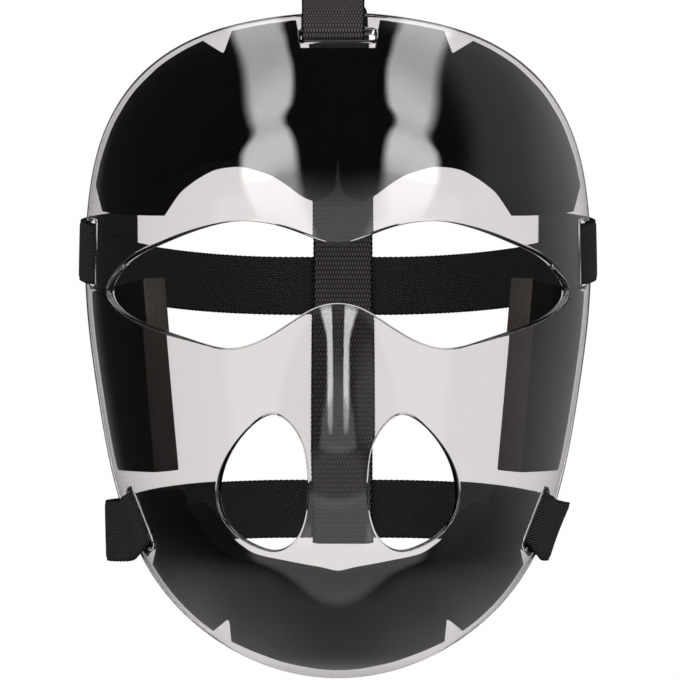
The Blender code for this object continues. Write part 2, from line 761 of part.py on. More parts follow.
def slot_passage(slot, width, skew=0.0):
    """A strap's path at a slot: in along the wall's inner face, through, and back outside."""
    outer = CLEARANCE + STRAP_THICKNESS / 2
    turn_place = SLOT_WIDTH / 2 - 2 * CLEARANCE
    runs = np.linspace(slot.setback - RIM_REACH, turn_place, 4)
    inner = SHELL_WALL + BEND_CLEARANCE + STRAP_THICKNESS / 2
    shifts = skew * (runs - turn_place)
    inside = [slot.at(run, -inner - slot.sag(run, shift, width), shift)
              for run, shift in zip(runs, shifts)]
    outside = [slot.at(run, outer, shift) for run, shift in zip(runs[::-1], shifts[::-1])]
    centre = (inside[-1] + outside[0]) / 2
    half_gap = np.linalg.norm(outside[0] - inside[-1]) / 2
    forward = min(half_gap, turn_place + SLOT_WIDTH / 2 - outer)
    turned = fold(centre, inside[-1] - centre, -slot.back * forward, 7)
    return inside, turned, outside


def arc_lengths(path):
    """How far along the path each of its points lies."""
    return np.concatenate([[0], np.cumsum(np.linalg.norm(np.diff(path, axis=0), axis=1))])


def strap_tail(main, outward, start_gap, merge, sink, rise, stand):
    """The free end of a strap, laid on the outside of its main run behind the rim."""
    run = arc_lengths(main)
    steps = np.linspace(0, TAIL_LENGTH, TAIL_STEPS + 1)[1:]
    end_gap = STRAP_THICKNESS + CLEARANCE
    tail = []
    for step in steps:
        base = np.array([np.interp(step, run, main[:, k]) for k in range(3)])
        away = unit(np.array([np.interp(step, run, outward[:, k]) for k in range(3)]))
        merged = smooth_share((step - 2 * RIM_REACH) / merge)
        gap = end_gap + (start_gap - end_gap) * (1 - merged)
        level = unit(away * np.array([1.0, 1.0, 0.0]))
        loose = stand * math.sin(math.pi * min(step / LOOP_LENGTH, 1.0))**2
        point = base + away * gap + level * loose
        tail.append(point + sink * (main[0] - base) + rise * (step / TAIL_LENGTH))
    return tail


def half_strap(slot, back_height, slope, handles, skew, tail_rise, stand, twist):
    """The right half of a head strap, from behind the head to its free end."""
    inside, turned, outside = slot_passage(slot, ELASTIC_WIDTH, skew)
    upright = np.array([0.0, 0.0, 1.0])
    middle = np.array([0.0, HEAD_LENGTH, back_height])
    corner = np.array([BACK_FLAT, HEAD_LENGTH, back_height])
    leaving = unit((inside[0] - inside[1]) * np.array([1.0, 1.0, 0.0]))
    leaving = unit(leaving + upright * slope)
    sweep = bezier(inside[0], leaving * handles[0], np.array([handles[1], 0, 0]), corner,
                   BACK_STEPS)
    main = np.concatenate([[inside[0]], sweep])
    run = arc_lengths(main)
    share = smooth_share(run / (TWIST_SHARE * run[-1]))[:, None]
    across = (1 - share) * slot.along + share * upright
    outward = np.cross(np.gradient(main, axis=0), across)
    outward /= np.linalg.norm(outward, axis=1, keepdims=True)
    outward *= np.sign(outward[0] @ slot.normal)
    sink = upright if tail_rise else np.zeros(3)
    start_gap = np.linalg.norm(outside[-1] - inside[0])
    tail = strap_tail(main, outward, start_gap, MERGE_LENGTH, sink, upright * tail_rise, stand)
    path = [middle] + list(main[::-1]) + inside[1:] + turned + outside + tail
    widths = ([upright] + list(across[::-1])
              + [slot.along] * (len(inside) - 1 + len(turned) + len(outside)))
    steps = np.linspace(0, TAIL_LENGTH, TAIL_STEPS + 1)[1:, None]
    tail_share = smooth_share((steps - 2 * RIM_REACH) / twist)
    widths += list((1 - tail_share) * slot.along + tail_share * upright)
    return np.array(path), np.array(widths)


def make_head_strap(name, halves, finish):
    """An elastic that runs from slot to slot round the back of the head, from its two halves."""
    (left_path, left_widths), (right_path, right_widths) = halves
    mirror = np.array([-1, 1, 1])
    path = np.concatenate([(left_path * mirror)[:0:-1], right_path])
    widths = np.concatenate([(left_widths * mirror)[:0:-1], right_widths])
    return ribbon(name, path, widths, ELASTIC_WIDTH, finish)


def make_upper_strap(finish):
    """The upper elastic, the same on both sides."""
    half = half_strap(upper_slot, UPPER_BACK_HEIGHT, UPPER_SLOPE, UPPER_HANDLES, 0.0, TAIL_RISE,
                      0.0, UPPER_TWIST)
    return make_head_strap("upper_strap", (half, half), finish)


def make_lower_strap(finish):
    """The lower elastic, whose loops stand off the rim differently on the two sides."""
    halves = [half_strap(lower_slot, -LOWER_BACK_DEPTH, LOWER_SLOPE, LOWER_HANDLES, LOWER_SKEW,
                         0.0, stand, twist) for stand, twist in zip(LOWER_STANDS, LOOP_TWISTS)]
    return make_head_strap("lower_strap", halves, finish)


def make_crown_strap(finish):
    """The webbing from the top slot over the head, folded round both elastics behind it."""
    inside, turned, outside = slot_passage(crown_slot, WEBBING_WIDTH + 2 * CROWN_SLIP)
    layer = STRAP_THICKNESS + CLEARANCE
    top = np.array([0.0, CROWN_MIDDLE, CROWN_HEIGHT])
    knee = np.array([0.0, HEAD_LENGTH - layer, UPPER_BACK_HEIGHT + ELASTIC_WIDTH])
    low_edge = -LOWER_BACK_DEPTH - ELASTIC_WIDTH / 2
    foot = np.array([0.0, HEAD_LENGTH - layer, low_edge])
    leaving = unit(inside[0] - inside[1])
    ways = [np.array(way) for way in ((0, -1.0, 0), (0, 1.0, 0), (0, 0, 1.0))]
    front = bezier(inside[0], leaving * CROWN_HANDLES[0], ways[0] * CROWN_HANDLES[1], top,
                   CROWN_STEPS[0])
    rear = bezier(top, ways[1] * CROWN_HANDLES[2], ways[2] * CROWN_HANDLES[3], knee,
                  CROWN_STEPS[1])
    main = np.concatenate([[inside[0]], front, rear])
    ahead = np.gradient(main, axis=0)
    sideways = np.array([1.0, 0.0, 0.0])
    outward = np.cross(ahead, sideways)
    outward /= np.linalg.norm(outward, axis=1, keepdims=True)
    outward *= np.sign(outward[0] @ crown_slot.normal)
    start_gap = np.linalg.norm(outside[-1] - inside[0])
    tail = strap_tail(main, outward, start_gap, CROWN_MERGE, np.zeros(3), np.zeros(3), 0.0)
    fold_centre = np.array([0.0, HEAD_LENGTH, low_edge])
    bottom = fold(fold_centre, np.array([0, -layer, 0]), np.array([0, 0, -layer]), 5)
    rise = np.array([0.0, HEAD_LENGTH + layer, low_edge])
    tip = np.array([0.0, HEAD_LENGTH + layer,
                    UPPER_BACK_HEIGHT + ELASTIC_WIDTH / 2 + CROWN_TAIL_LAP])
    down = [knee + (foot - knee) * s for s in (0.5, 1.0)]
    lap = [rise + (tip - rise) * s for s in (0.0, 0.5, 1.0)]
    path = np.array(tail[::-1] + outside[::-1] + turned[::-1] + inside[:0:-1] + list(main) + down
                    + bottom + lap)
    slot_share = len(tail) + len(outside) + len(turned) + len(inside) - 1
    shift = np.full(len(path), CROWN_BACK_SHIFT)
    shift[:slot_share] = -CROWN_SLIP
    run = arc_lengths(main)
    shift[slot_share:slot_share + len(main)] = np.interp(
        smooth_share(run / run[-1]), (0, 1), (-CROWN_SLIP, CROWN_BACK_SHIFT))
    path[:, 0] = shift
    return ribbon("crown_strap", path, [sideways] * len(path), WEBBING_WIDTH, finish)


def main():
    """Build every piece of the mask."""
    clear_scene()
    clear = material("clear_shell", (0.83, 0.82, 0.82), 0.05, alpha=0.35)
    foam = material("black_foam", (0.025, 0.023, 0.022), 0.85)
    elastic = material("black_elastic", (0.015, 0.015, 0.015), 0.8)
    webbing = material("black_webbing", (0.020, 0.019, 0.019), 0.75)
    make_shell(clear)
    make_forehead_pad(foam)
    make_cheek_pad(-1, foam)
    make_cheek_pad(1, foam)
    make_chin_pad(foam)
    make_upper_strap(elastic)
    make_lower_strap(elastic)
    make_crown_strap(webbing)


main()
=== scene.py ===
"""Field hockey face mask: the looks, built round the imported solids.

Metres, +Z up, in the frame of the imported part. The mask faces -Y and +X is the viewer's right. The
clear shell is built again from its own sizes as one fine skin with polished edges, the pads and the
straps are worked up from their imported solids, and the studio stands round them.
"""
import math
from collections import namedtuple
from itertools import permutations

import bmesh
import bpy
import numpy as np
from bpy.props import FloatProperty, FloatVectorProperty, PointerProperty
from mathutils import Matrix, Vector
from mathutils.geometry import delaunay_2d_cdt


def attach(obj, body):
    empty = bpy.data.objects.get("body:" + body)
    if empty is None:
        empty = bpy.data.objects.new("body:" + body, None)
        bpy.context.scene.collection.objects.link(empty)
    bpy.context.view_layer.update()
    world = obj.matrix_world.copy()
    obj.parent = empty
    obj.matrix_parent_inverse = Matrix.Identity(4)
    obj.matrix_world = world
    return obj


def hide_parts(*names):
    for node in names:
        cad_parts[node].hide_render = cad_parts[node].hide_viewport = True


bl_info = {
    "name": "Field Hockey Face Mask",
    "version": (1, 0, 0),
    "blender": (4, 5, 0),
    "location": "3D View > Sidebar > Mask",
    "description": "Builds a clear face mask with foam pads and straps round its packed solids",
    "category": "Object",
}

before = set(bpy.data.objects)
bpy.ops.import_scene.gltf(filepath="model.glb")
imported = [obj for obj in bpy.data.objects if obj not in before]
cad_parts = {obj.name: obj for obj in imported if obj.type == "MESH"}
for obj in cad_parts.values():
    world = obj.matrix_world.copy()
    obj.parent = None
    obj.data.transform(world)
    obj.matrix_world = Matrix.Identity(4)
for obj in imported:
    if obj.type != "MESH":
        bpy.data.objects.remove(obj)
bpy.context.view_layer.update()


def table(columns, *rows):
    """The rows of a table, each with its columns by name."""
    row = namedtuple("Row", columns)
    return [row(*values) for values in rows]


# Shell, as in the part
SHELL_HALF_WIDTH = 0.0956
WIDEST_HEIGHT = 0.0066
RIM_RISE = 0.0961
RIM_DROP = 0.1506
TEMPLE_DEPTH = 0.075
FACE_DEPTH = 0.027
SHELL_WALL = 0.0035
SIDE_ROUNDNESS = 0.95
NOSE_HEIGHT = 0.013
NOSE_HALF_WIDTH = 0.0155
EYE_HALF_WIDTH = SHELL_HALF_WIDTH - 0.0091
EYE_RISE = 0.0180
EYE_DROP = 0.0284
NOSE_STRIP = 0.0226
BREATHING_WIDTH = 0.0330
BREATHING_HEIGHT = 0.0492
BREATHING_LEVEL = 0.0709
SLOT_WIDTH = 0.0052
SLOT_CORNER = 0.0009
SLOT_POINTS = 64
ELASTIC_SLOT_LENGTH = 0.0250
CROWN_SLOT_LENGTH = 0.0280
UPPER_SLOT_TURN = 85.2
UPPER_SETBACK = 0.0110
LOWER_SLOT_TURN = 142.6
LOWER_SETBACK = 0.0155
CROWN_SETBACK = 0.0125
MUZZLE = (0.08, 0.40, 0.70, 0.94)
MUZZLE_SHARE = 0.7

# The shell's mesh: spacing of its outlines and how far its grid keeps off them, of its facet, and
# the steps and squareness of its rounded edges
OUTLINE_SPACING = 0.62
GRID_GAP = 0.55
EDGE_STEPS = 8
EDGE_SQUARENESS = 0.75

# Where the shell's wall begins to keep its full thickness and keeps it, across from the middle
# and over the eye line
CLEAR_ACROSS = (0.034, 0.052)
CLEAR_ABOVE = (0.034, 0.055)

# Straps, as in the part
ELASTIC_WIDTH = 0.0226
WEBBING_WIDTH = 0.0230
STRAP_THICKNESS = 0.0015
STRAIGHT_RUN = 0.020          # a strap runs straight between sections that lie further apart
STRAIGHT_KNOTS = (0.08, 0.3, 0.7, 0.92)     # where it is held straight, of that distance
EDGE_THINNER = 0.10           # how much thinner a strap is at its edges, of half its thickness
EDGE_LEAST = 0.12             # and the least that is left there, of its thickness
HEAD_MIDDLE = Vector((0.0, 0.10, -0.02))    # a strap's inner face looks this way
LOOP_INSET = 0.22             # how far a selvedge loop's middle lies inside the edge, and how
LOOP_THICKNESS = 0.72         # thick the loop is, of the strap's thickness
LOOP_LENGTH = 1.1             # its length, of the pitch
ELASTIC_LOOPS = 1.5           # pitch of the elastics' loops, of the twill's
INNER_FACE = 1.0              # added across the UV map on a strap's inner face

# Weave: twill slants that far along for each metre across, its yarn crosses that many half waves a
# pitch, and both fabrics are finer by that share on their inner face
TWILL_SLANT = 0.84
TWILL_YARN = 3.1
TWILL_FINER = 0.28
TWILL_RELIEF = 0.00022
RIB_FINER = 0.30
RIB_RELIEF = 0.0003

# Height of the twill, from its ridges, its yarn and its mean, and how square the ribs' floats are
# along and across them. The contrast sets the painted shade that darkens all but the tops
TWILL_HEIGHTS = (0.40, 0.18, 0.45)
TWILL_SHADE_CONTRAST = 3.0
RIB_SQUARE = (0.35, 0.9)
RIB_SHADE_CONTRAST = 1.4
VALLEY_PAINTED_SHADE = 0.05            # painted shade in a yarn's valleys and painted highlight on its ridges, of its own colour
RIDGE_PAINTED_HIGHLIGHT = 5.5
CLOTH_ROUGH = 0.90            # roughness in the valleys, and how much less it is on the ridges
RIDGE_SMOOTHER = 0.1
CLOTH_GLOSS = 0.08

# Faint handling marks on the shell: size of their cells and of their mottling
HANDLING_CELL = 0.0035
HANDLING_MOTTLE = 0.03

# Foam: a fine skin, and coarser cut edges
# Only these pads show the cut colour; the cut edges of the forehead and chin pads keep the skin's
# black as painted shade
PADS_WITH_UNSHADED_CUTS = ("cheek_pad_left", "cheek_pad_right")
MOTTLE = 0.012                # size of the soft mottling of its skin
CUT_MOTTLE = 0.005
CUT_CELL = 1.7                # size of a cut cell, of a cell of the skin
SKIN_RELIEF = 0.00012
CUT_RELIEF = 0.00035
SKIN_ROUGH = 0.80             # roughness of the skin, and how much more it is on the cut edges
CUT_ROUGHER = 0.12
FOAM_GLOSS = 0.05
SKIN_DARKEST = 0.75           # the darkest part of the skin and of a cut edge, of its own colour
CUT_DARKEST = 0.6
CUT_FACING = (0.45, 0.80)     # how squarely a point's normal meets the wall's on cut and on skin

RIM = table(
    "across height depth",
    (0.000, 1.000, 0.24),
    (0.265, 0.980, 0.29),
    (0.534, 0.916, 0.44),
    (0.774, 0.768, 0.64),
    (0.928, 0.532, 0.83),
    (0.988, 0.263, 0.95),
    (1.000, 0.000, 1.00),
    (0.981, -0.167, 1.00),
    (0.939, -0.344, 0.93),
    (0.868, -0.552, 0.80),
    (0.703, -0.775, 0.56),
    (0.395, -0.939, 0.29),
    (0.000, -1.000, 0.16))

PROFILE = table(
    "height depth",
    (-1.000, 0.44),
    (-0.969, -0.15),
    (-0.929, -0.52),
    (-0.862, -0.83),
    (-0.781, -0.97),
    (-0.681, -1.00),
    (-0.547, -0.95),
    (-0.413, -0.86),
    (-0.279, -0.77),
    (-0.145, -0.69),
    (0.000, -0.64),
    (0.141, -0.62),
    (0.268, -0.58),
    (0.405, -0.49),
    (0.542, -0.36),
    (0.668, -0.19),
    (0.805, 0.05),
    (0.921, 0.35),
    (1.000, 0.66))

NOSE = table(
    "height rise half_width",
    (-1.00, 0.00, 1.10),
    (-0.66, 0.00, 1.10),
    (-0.56, 0.12, 1.10),
    (-0.49, 0.55, 1.06),
    (-0.42, 0.95, 1.02),
    (-0.36, 1.00, 1.00),
    (-0.28, 0.90, 0.97),
    (-0.17, 0.66, 0.90),
    (-0.06, 0.38, 0.84),
    (0.10, 0.15, 0.84),
    (0.40, 0.00, 0.84))

EYE = table(
    "across height",
    (0.000, 0.53),
    (0.125, 0.68),
    (0.233, 0.87),
    (0.326, 0.97),
    (0.414, 1.00),
    (0.507, 0.95),
    (0.640, 0.78),
    (0.788, 0.51),
    (0.897, 0.26),
    (0.972, -0.07),
    (1.000, -0.30),
    (0.978, -0.43),
    (0.929, -0.56),
    (0.788, -0.75),
    (0.632, -0.90),
    (0.493, -1.00),
    (0.418, -0.99),
    (0.354, -0.93),
    (0.241, -0.74),
    (0.166, -0.59),
    (0.090, -0.47),
    (0.000, -0.42))

BREATHING = table(
    "across height",
    (-0.25, 1.00),
    (0.12, 0.90),
    (0.46, 0.68),
    (0.86, 0.26),
    (1.00, -0.15),
    (0.92, -0.46),
    (0.60, -0.75),
    (0.12, -0.94),
    (-0.36, -1.00),
    (-0.69, -0.88),
    (-0.90, -0.62),
    (-1.00, -0.25),
    (-0.99, 0.15),
    (-0.88, 0.56),
    (-0.60, 0.86))

# Each bright band over the mask, from level in front over the top: the turn in degrees, how far to
# the side its two edges lie, of 1 for straight sideways, and its share of the brightness
BAND = table(
    "turn inner outer share",
    (0, 0.46, 0.66, 0.00),
    (8, 0.46, 0.67, 0.20),
    (19, 0.43, 0.71, 0.38),
    (27, 0.41, 0.72, 0.50),
    (34, 0.40, 0.71, 1.00),
    (40, 0.42, 0.69, 0.92),
    (45, 0.45, 0.63, 0.80),
    (51, 0.38, 0.64, 0.90),
    (60, 0.35, 0.65, 0.78),
    (74, 0.35, 0.64, 0.58),
    (92, 0.31, 0.60, 0.54),
    (120, 0.25, 0.45, 0.40),
    (150, 0.20, 0.30, 0.00))
BAND_EDGE = 0.035             # half the width over which a band's edge fades
RIGHT_SHIFT = 0.03            # how much further out the right band lies

# The pale card in front of the mask
FRONT_CARD_GAP = 0.35
FRONT_CARD_WIDTH = 2.20
FRONT_CARD_TOP = 0.240
FRONT_CARD_FOOT = -0.34
CARD_FADE = 0.20              # share of its size over which the card fades at each edge

# Soft lights on the dark studio's wall: how squarely a ray heads for each where it begins and
# where it is full. The one on the right is a wide light with a narrower one in it, each with its
# share of the brightness, and fades out towards the floor. The way to it is X and Y
RIGHT_WALL_WAY = (0.6, 0.8)
RIGHT_WALL = (0.20, 0.50, 0.7)
RIGHT_WALL_MIDDLE = (0.75, 1.00, 0.3)
RIGHT_WALL_FOOT = (-0.50, 0.25)
TABLE_LIGHT = (0.15, 0.55)

# Floor and camera
FLOOR_SIDES = 96
FLOOR_RINGS = (0.02, 0.5, 0.98, 1.0)
FLOOR_COLOURS = ((0.80, 0.80, 0.80), (0.84, 0.84, 0.83))
FLOOR_ROUGH = 0.6
CAMERA_ACROSS = 0.00075       # how far right of the middle the camera stands


def length(name, description, default, low=None):
    """A setting in metres."""
    limits = {} if low is None else {"min": low}
    return FloatProperty(name=name, description=description, default=default, unit="LENGTH",
                         **limits)


def number(name, description, default, low=0.0, high=100.0):
    """A setting that is a plain number."""
    return FloatProperty(name=name, description=description, default=default, min=low, max=high)


def colour(name, description, default):
    """A setting that is a colour."""
    return FloatVectorProperty(name=name, description=description, default=default, size=3,
                               min=0.0, max=1.0, subtype="COLOR")


class MaskShellSettings(bpy.types.PropertyGroup):
    """Sizes and looks of the clear shell."""

    facet: length("Facet", "Distance between the shell's points", 0.0021, 0.001)
    edge_round: length("Edge rounding", "How far a polished edge rounds over from each face",
                       0.0010, 0.0004)
    tint: colour("Tint", "Colour that the clear plastic lets through", (0.76, 0.73, 0.72))
    bending: number("Refraction", "Index of refraction of the plastic", 1.585, 1.0, 2.5)
    haze: number("Haze", "Roughness of the polished faces", 0.015, 0.0, 1.0)


class MaskFoamSettings(bpy.types.PropertyGroup):
    """Sizes and looks of the foam pads."""

    corner: length("Corner", "Softness of the cut corners", 0.0007, 0.0001)
    cell: length("Cell", "Size of the foam's cells", 0.0007, 0.0002)
    skin: colour("Skin", "Colour of the pads' faces", (0.004, 0.0038, 0.0036))
    cut: colour("Cut", "Colour of the pads' cut edges", (0.055, 0.045, 0.040))


class MaskStrapSettings(bpy.types.PropertyGroup):
    """Sizes and looks of the elastics and the webbing."""

    step: length("Step", "Distance between the sections of a strap", 0.0014, 0.0005)
    twill: length("Twill", "Distance between the diagonal ridges of the elastic", 0.00144, 0.0002)
    rib: length("Rib", "Distance between the ribs of the webbing", 0.0018, 0.0002)
    warp: length("Warp", "Distance between the lengthwise yarns of the webbing", 0.00107, 0.0002)
    elastic: colour("Elastic", "Colour of the elastic's yarn", (0.012, 0.012, 0.012))
    webbing: colour("Webbing", "Colour of the webbing's yarn", (0.014, 0.013, 0.012))


class MaskStageSettings(bpy.types.PropertyGroup):
    """The studio round the mask."""

    distance: length("Camera distance", "From the camera to the shell's rim", 3.0, 0.5)
    view_height: length("View height", "Of the camera over the eye line", -0.019)
    view_width: length("View width", "What the picture takes in at the rim", 0.2564, 0.05)
    floor_drop: length("Floor", "How far the floor lies below the eye line", 0.42, 0.2)
    floor_radius: length("Floor radius", "Of the round floor", 1.9, 0.3)
    strip: number("Bands", "Brightness of the two bright bands of light", 6.0)
    front: number("Front card", "Brightness of the pale card in front", 1.00)
    card: number("Right wall", "Brightness of the studio on the right", 0.36)
    table: number("Table", "Brightness of the studio below", 0.28)
    fill: number("Fill", "Soft light from all round on what doesn't shine", 0.30)
    studio: number("Studio", "Brightness of the dark studio round the lights", 0.02)


# ---- shell form


def spline(knots, values, flat=False):
    """A cubic curve through the rows, free at its ends or level there, as a function."""
    at = np.array(knots, float)
    value = np.array(values, float)
    step = np.diff(at)
    slope = np.diff(value) / step
    count = len(at)
    matrix = np.zeros((count, count))
    right = np.zeros(count)
    for i in range(1, count - 1):
        matrix[i, i - 1:i + 2] = step[i - 1], 2 * (step[i - 1] + step[i]), step[i]
        right[i] = 6 * (slope[i] - slope[i - 1])
    matrix[0, 0] = matrix[-1, -1] = 1
    if flat:
        matrix[0, :2] = 2 * step[0], step[0]
        right[0] = 6 * slope[0]
        matrix[-1, -2:] = step[-1], 2 * step[-1]
        right[-1] = -6 * slope[-1]
    bend = np.linalg.solve(matrix, right)

    def curve(place):
        place = np.asarray(place, float)
        i = np.clip(np.searchsorted(at, place) - 1, 0, count - 2)
        left = (at[i + 1] - place) / step[i]
        near = (place - at[i]) / step[i]
        cubic = (left**3 - left) * bend[i] + (near**3 - near) * bend[i + 1]
        return left * value[i] + near * value[i + 1] + cubic * step[i]**2 / 6

    return curve


def real_height(share, rise, drop):
    """Turn a height share into metres over the widest level."""
    return share * (rise if share > 0 else drop)


def rim_curves():
    """The rim's distance from the middle and its depth, over the turn from the top in radians."""
    turns, radii, depths = [], [], []
    for row in RIM:
        x = row.across * SHELL_HALF_WIDTH
        up = real_height(row.height, RIM_RISE, RIM_DROP)
        turns.append(math.atan2(x, up))
        radii.append(math.hypot(x, up))
        depths.append(row.depth * TEMPLE_DEPTH)
    return spline(turns, radii, flat=True), spline(turns, depths, flat=True)


rim_radius, rim_depth = rim_curves()
profile = spline([real_height(row.height, RIM_RISE, RIM_DROP) for row in PROFILE],
                 [row.depth * FACE_DEPTH for row in PROFILE])
nose_rise = spline([row.height * RIM_DROP for row in NOSE],
                   [row.rise * NOSE_HEIGHT for row in NOSE])
nose_width = spline([row.height * RIM_DROP for row in NOSE],
                    [row.half_width * NOSE_HALF_WIDTH for row in NOSE])


def joined(*columns):
    """Arrays as the columns of one."""
    return np.stack(columns, axis=-1)


def on_turn(radius, turn):
    """The front-view place that far from the middle at a turn from the top."""
    return radius * np.sin(turn), WIDEST_HEIGHT + radius * np.cos(turn)


def smooth_share(share):
    """A share from 0 to 1 that starts and ends gently."""
    share = np.clip(share, 0, 1)
    return share * share * (3 - 2 * share)


def bow(share):
    """The part of the way back to the rim that a section has gone at a share of its width."""
    full = 1 - math.sqrt(1 - SIDE_ROUNDNESS**2)
    share = np.minimum(share, 1.04)
    return (1 - np.sqrt(1 - (SIDE_ROUNDNESS * share)**2)) / full


def jaw_rim(up):
    """The rim's distance across and its depth at a height below the widest level."""
    turns = np.linspace(math.pi, math.pi / 2, 1500)
    radius = rim_radius(turns)
    heights = radius * np.cos(turns)
    return (np.interp(up, heights, radius * np.sin(turns)),
            np.interp(up, heights, rim_depth(turns)))


def shell_depth(x, z):
    """How far back the shell's outer face lies at a place in the front view."""
    up = z - WIDEST_HEIGHT
    turn = np.arctan2(np.abs(x), up)
    radius = rim_radius(turn)
    middle = profile(up)
    domed = (rim_depth(turn) - profile(radius * np.cos(turn))) * bow(np.hypot(x, up) / radius)
    jaw_width, jaw_depth = jaw_rim(up)
    level = (jaw_depth - middle) * bow(np.abs(x) / np.maximum(jaw_width, 1e-4))
    down = -up / RIM_DROP
    muzzle = smooth_share((down - MUZZLE[0]) / (MUZZLE[1] - MUZZLE[0]))
    muzzle = muzzle * (1 - smooth_share((down - MUZZLE[2]) / (MUZZLE[3] - MUZZLE[2])))
    ridge = nose_rise(up) * np.exp(-(x / nose_width(up))**2)
    return middle + domed + MUZZLE_SHARE * muzzle * (level - domed) - ridge


def shell_point(x, z):
    """A point on the shell's outer face, and the normal there."""
    reach = 1e-4
    slope_x = (shell_depth(x + reach, z) - shell_depth(x - reach, z)) / (2 * reach)
    slope_z = (shell_depth(x, z + reach) - shell_depth(x, z - reach)) / (2 * reach)
    normal = joined(slope_x, -np.ones_like(slope_x), slope_z)
    normal /= np.linalg.norm(normal, axis=-1, keepdims=True)
    return joined(x, shell_depth(x, z), z), normal


def formed_wall(outer, normals, bending):
    """The shell's inner face: as thick as the sheet at the sides, and drawn thinner over slopes
    in the middle of the face, where what lies behind is seen straight, not as through a lens."""
    slopes = np.linspace(0, math.radians(85), 400)
    bent = np.arcsin(np.sin(slopes) / bending)
    rate = np.sin(slopes) / bending * (np.cos(slopes) / bending / np.cos(bent) - 1) / np.cos(bent)
    ways = np.exp(np.concatenate([[0], np.cumsum((rate[1:] + rate[:-1]) / 2 * np.diff(slopes))]))
    steep = np.arccos(np.clip(-normals[:, 1], -1, 1))
    inside = np.arcsin(np.sin(steep) / bending)
    ahead = np.array([0.0, 1.0, 0.0]) / bending
    ahead = ahead + (np.cos(steep) / bending - np.cos(inside))[:, None] * normals
    drawn = ahead * np.interp(steep, slopes, ways)[:, None]
    across = 1 - smooth_share((np.abs(outer[:, 0]) - CLEAR_ACROSS[0])
                              / (CLEAR_ACROSS[1] - CLEAR_ACROSS[0]))
    above = 1 - smooth_share((outer[:, 2] - CLEAR_ABOVE[0]) / (CLEAR_ABOVE[1] - CLEAR_ABOVE[0]))
    share = (across * above)[:, None]
    return outer + SHELL_WALL * (share * drawn - (1 - share) * normals)


def unit(vectors):
    """The vectors at length 1."""
    return vectors / np.linalg.norm(vectors, axis=-1, keepdims=True)


def arc_lengths(path):
    """How far along the path each of its points lies."""
    return np.concatenate([[0], np.cumsum(np.linalg.norm(np.diff(path, axis=0), axis=1))])


def foot_on_shell(point, normal):
    """Where the line through a point along the normal meets the shell's outer face."""
    place = point.copy()
    for _ in range(8):
        miss = place[1] - float(shell_depth(place[0], place[2]))
        _, steep = shell_point(np.array(place[0]), np.array(place[2]))
        place = place - normal * miss / float(normal @ (steep / steep[1]))
    return place


def slot_outline(turn, setback, length, side):
    """The front-view outline of a strap slot that far inside the rim, or of its mirror image."""
    places = []
    for angle in (turn, turn - 0.01, turn + 0.01):
        places.append(on_turn(float(rim_radius(angle)), angle))
    (edge, normal), (start, _), (end, _) = (
        shell_point(np.array(x), np.array(z)) for x, z in places)
    back = unit(np.cross(unit(start - end), normal))
    centre = foot_on_shell(edge - back * setback, normal)
    _, normal = shell_point(np.array(centre[0]), np.array(centre[2]))
    back = unit(back - (back @ normal) * normal)
    along = unit(np.cross(normal, back))
    outline = []
    for step in range(SLOT_POINTS):
        angle = 2 * math.pi * (step + 0.5) / SLOT_POINTS
        up = math.copysign(length / 2 - SLOT_CORNER, math.sin(angle))
        out = math.copysign(SLOT_WIDTH / 2 - SLOT_CORNER, math.cos(angle))
        point = (centre + along * (up + SLOT_CORNER * math.sin(angle))
                 + back * (out + SLOT_CORNER * math.cos(angle)))
        foot = foot_on_shell(point, normal)
        outline.append((side * foot[0], foot[2]))
    return np.array(outline)


def eye_outline():
    """The front-view outline of the eye opening."""
    x = np.array([row.across * EYE_HALF_WIDTH for row in EYE])
    z = np.array([real_height(row.height, EYE_RISE, EYE_DROP) for row in EYE]) + WIDEST_HEIGHT
    run = arc_lengths(joined(x, z))
    fine = np.linspace(0, run[-1], 500)
    half = joined(spline(run, x)(fine), spline(run, z, flat=True)(fine))
    return np.concatenate([half, half[1:-1][::-1] * np.array([-1, 1])])


def breathing_outline(side):
    """The front-view outline of one breathing hole."""
    middle = side * (NOSE_STRIP + BREATHING_WIDTH) / 2
    x = [middle + side * row.across * BREATHING_WIDTH / 2 for row in BREATHING]
    z = [-BREATHING_LEVEL + row.height * BREATHING_HEIGHT / 2 for row in BREATHING]
    x, z = np.array(x + x[:1]), np.array(z + z[:1])
    run = arc_lengths(joined(x, z))
    looped = np.concatenate([run[-4:-1] - run[-1], run, run[1:4] + run[-1]])
    steps = np.linspace(0, run[-1], 301)[:-1]
    return joined(*(spline(looped, np.concatenate([v[-4:-1], v, v[1:4]]))(steps)
                    for v in (x, z)))


def rim_outline():
    """The front-view outline of the rim."""
    turns = np.linspace(-math.pi, math.pi, 1201)[:-1]
    return joined(*on_turn(rim_radius(np.abs(turns)), turns))


def even_loop(outline, spacing):
    """A closed outline of front-view places spaced evenly along the shell's face."""
    ring = np.vstack([outline, outline[:1]])
    points, _ = shell_point(ring[:, 0], ring[:, 1])
    run = arc_lengths(points)
    count = max(24, round(run[-1] / spacing))
    at = np.linspace(0, run[-1], count, endpoint=False)
    return joined(*(np.interp(at, run, ring[:, k]) for k in (0, 1)))


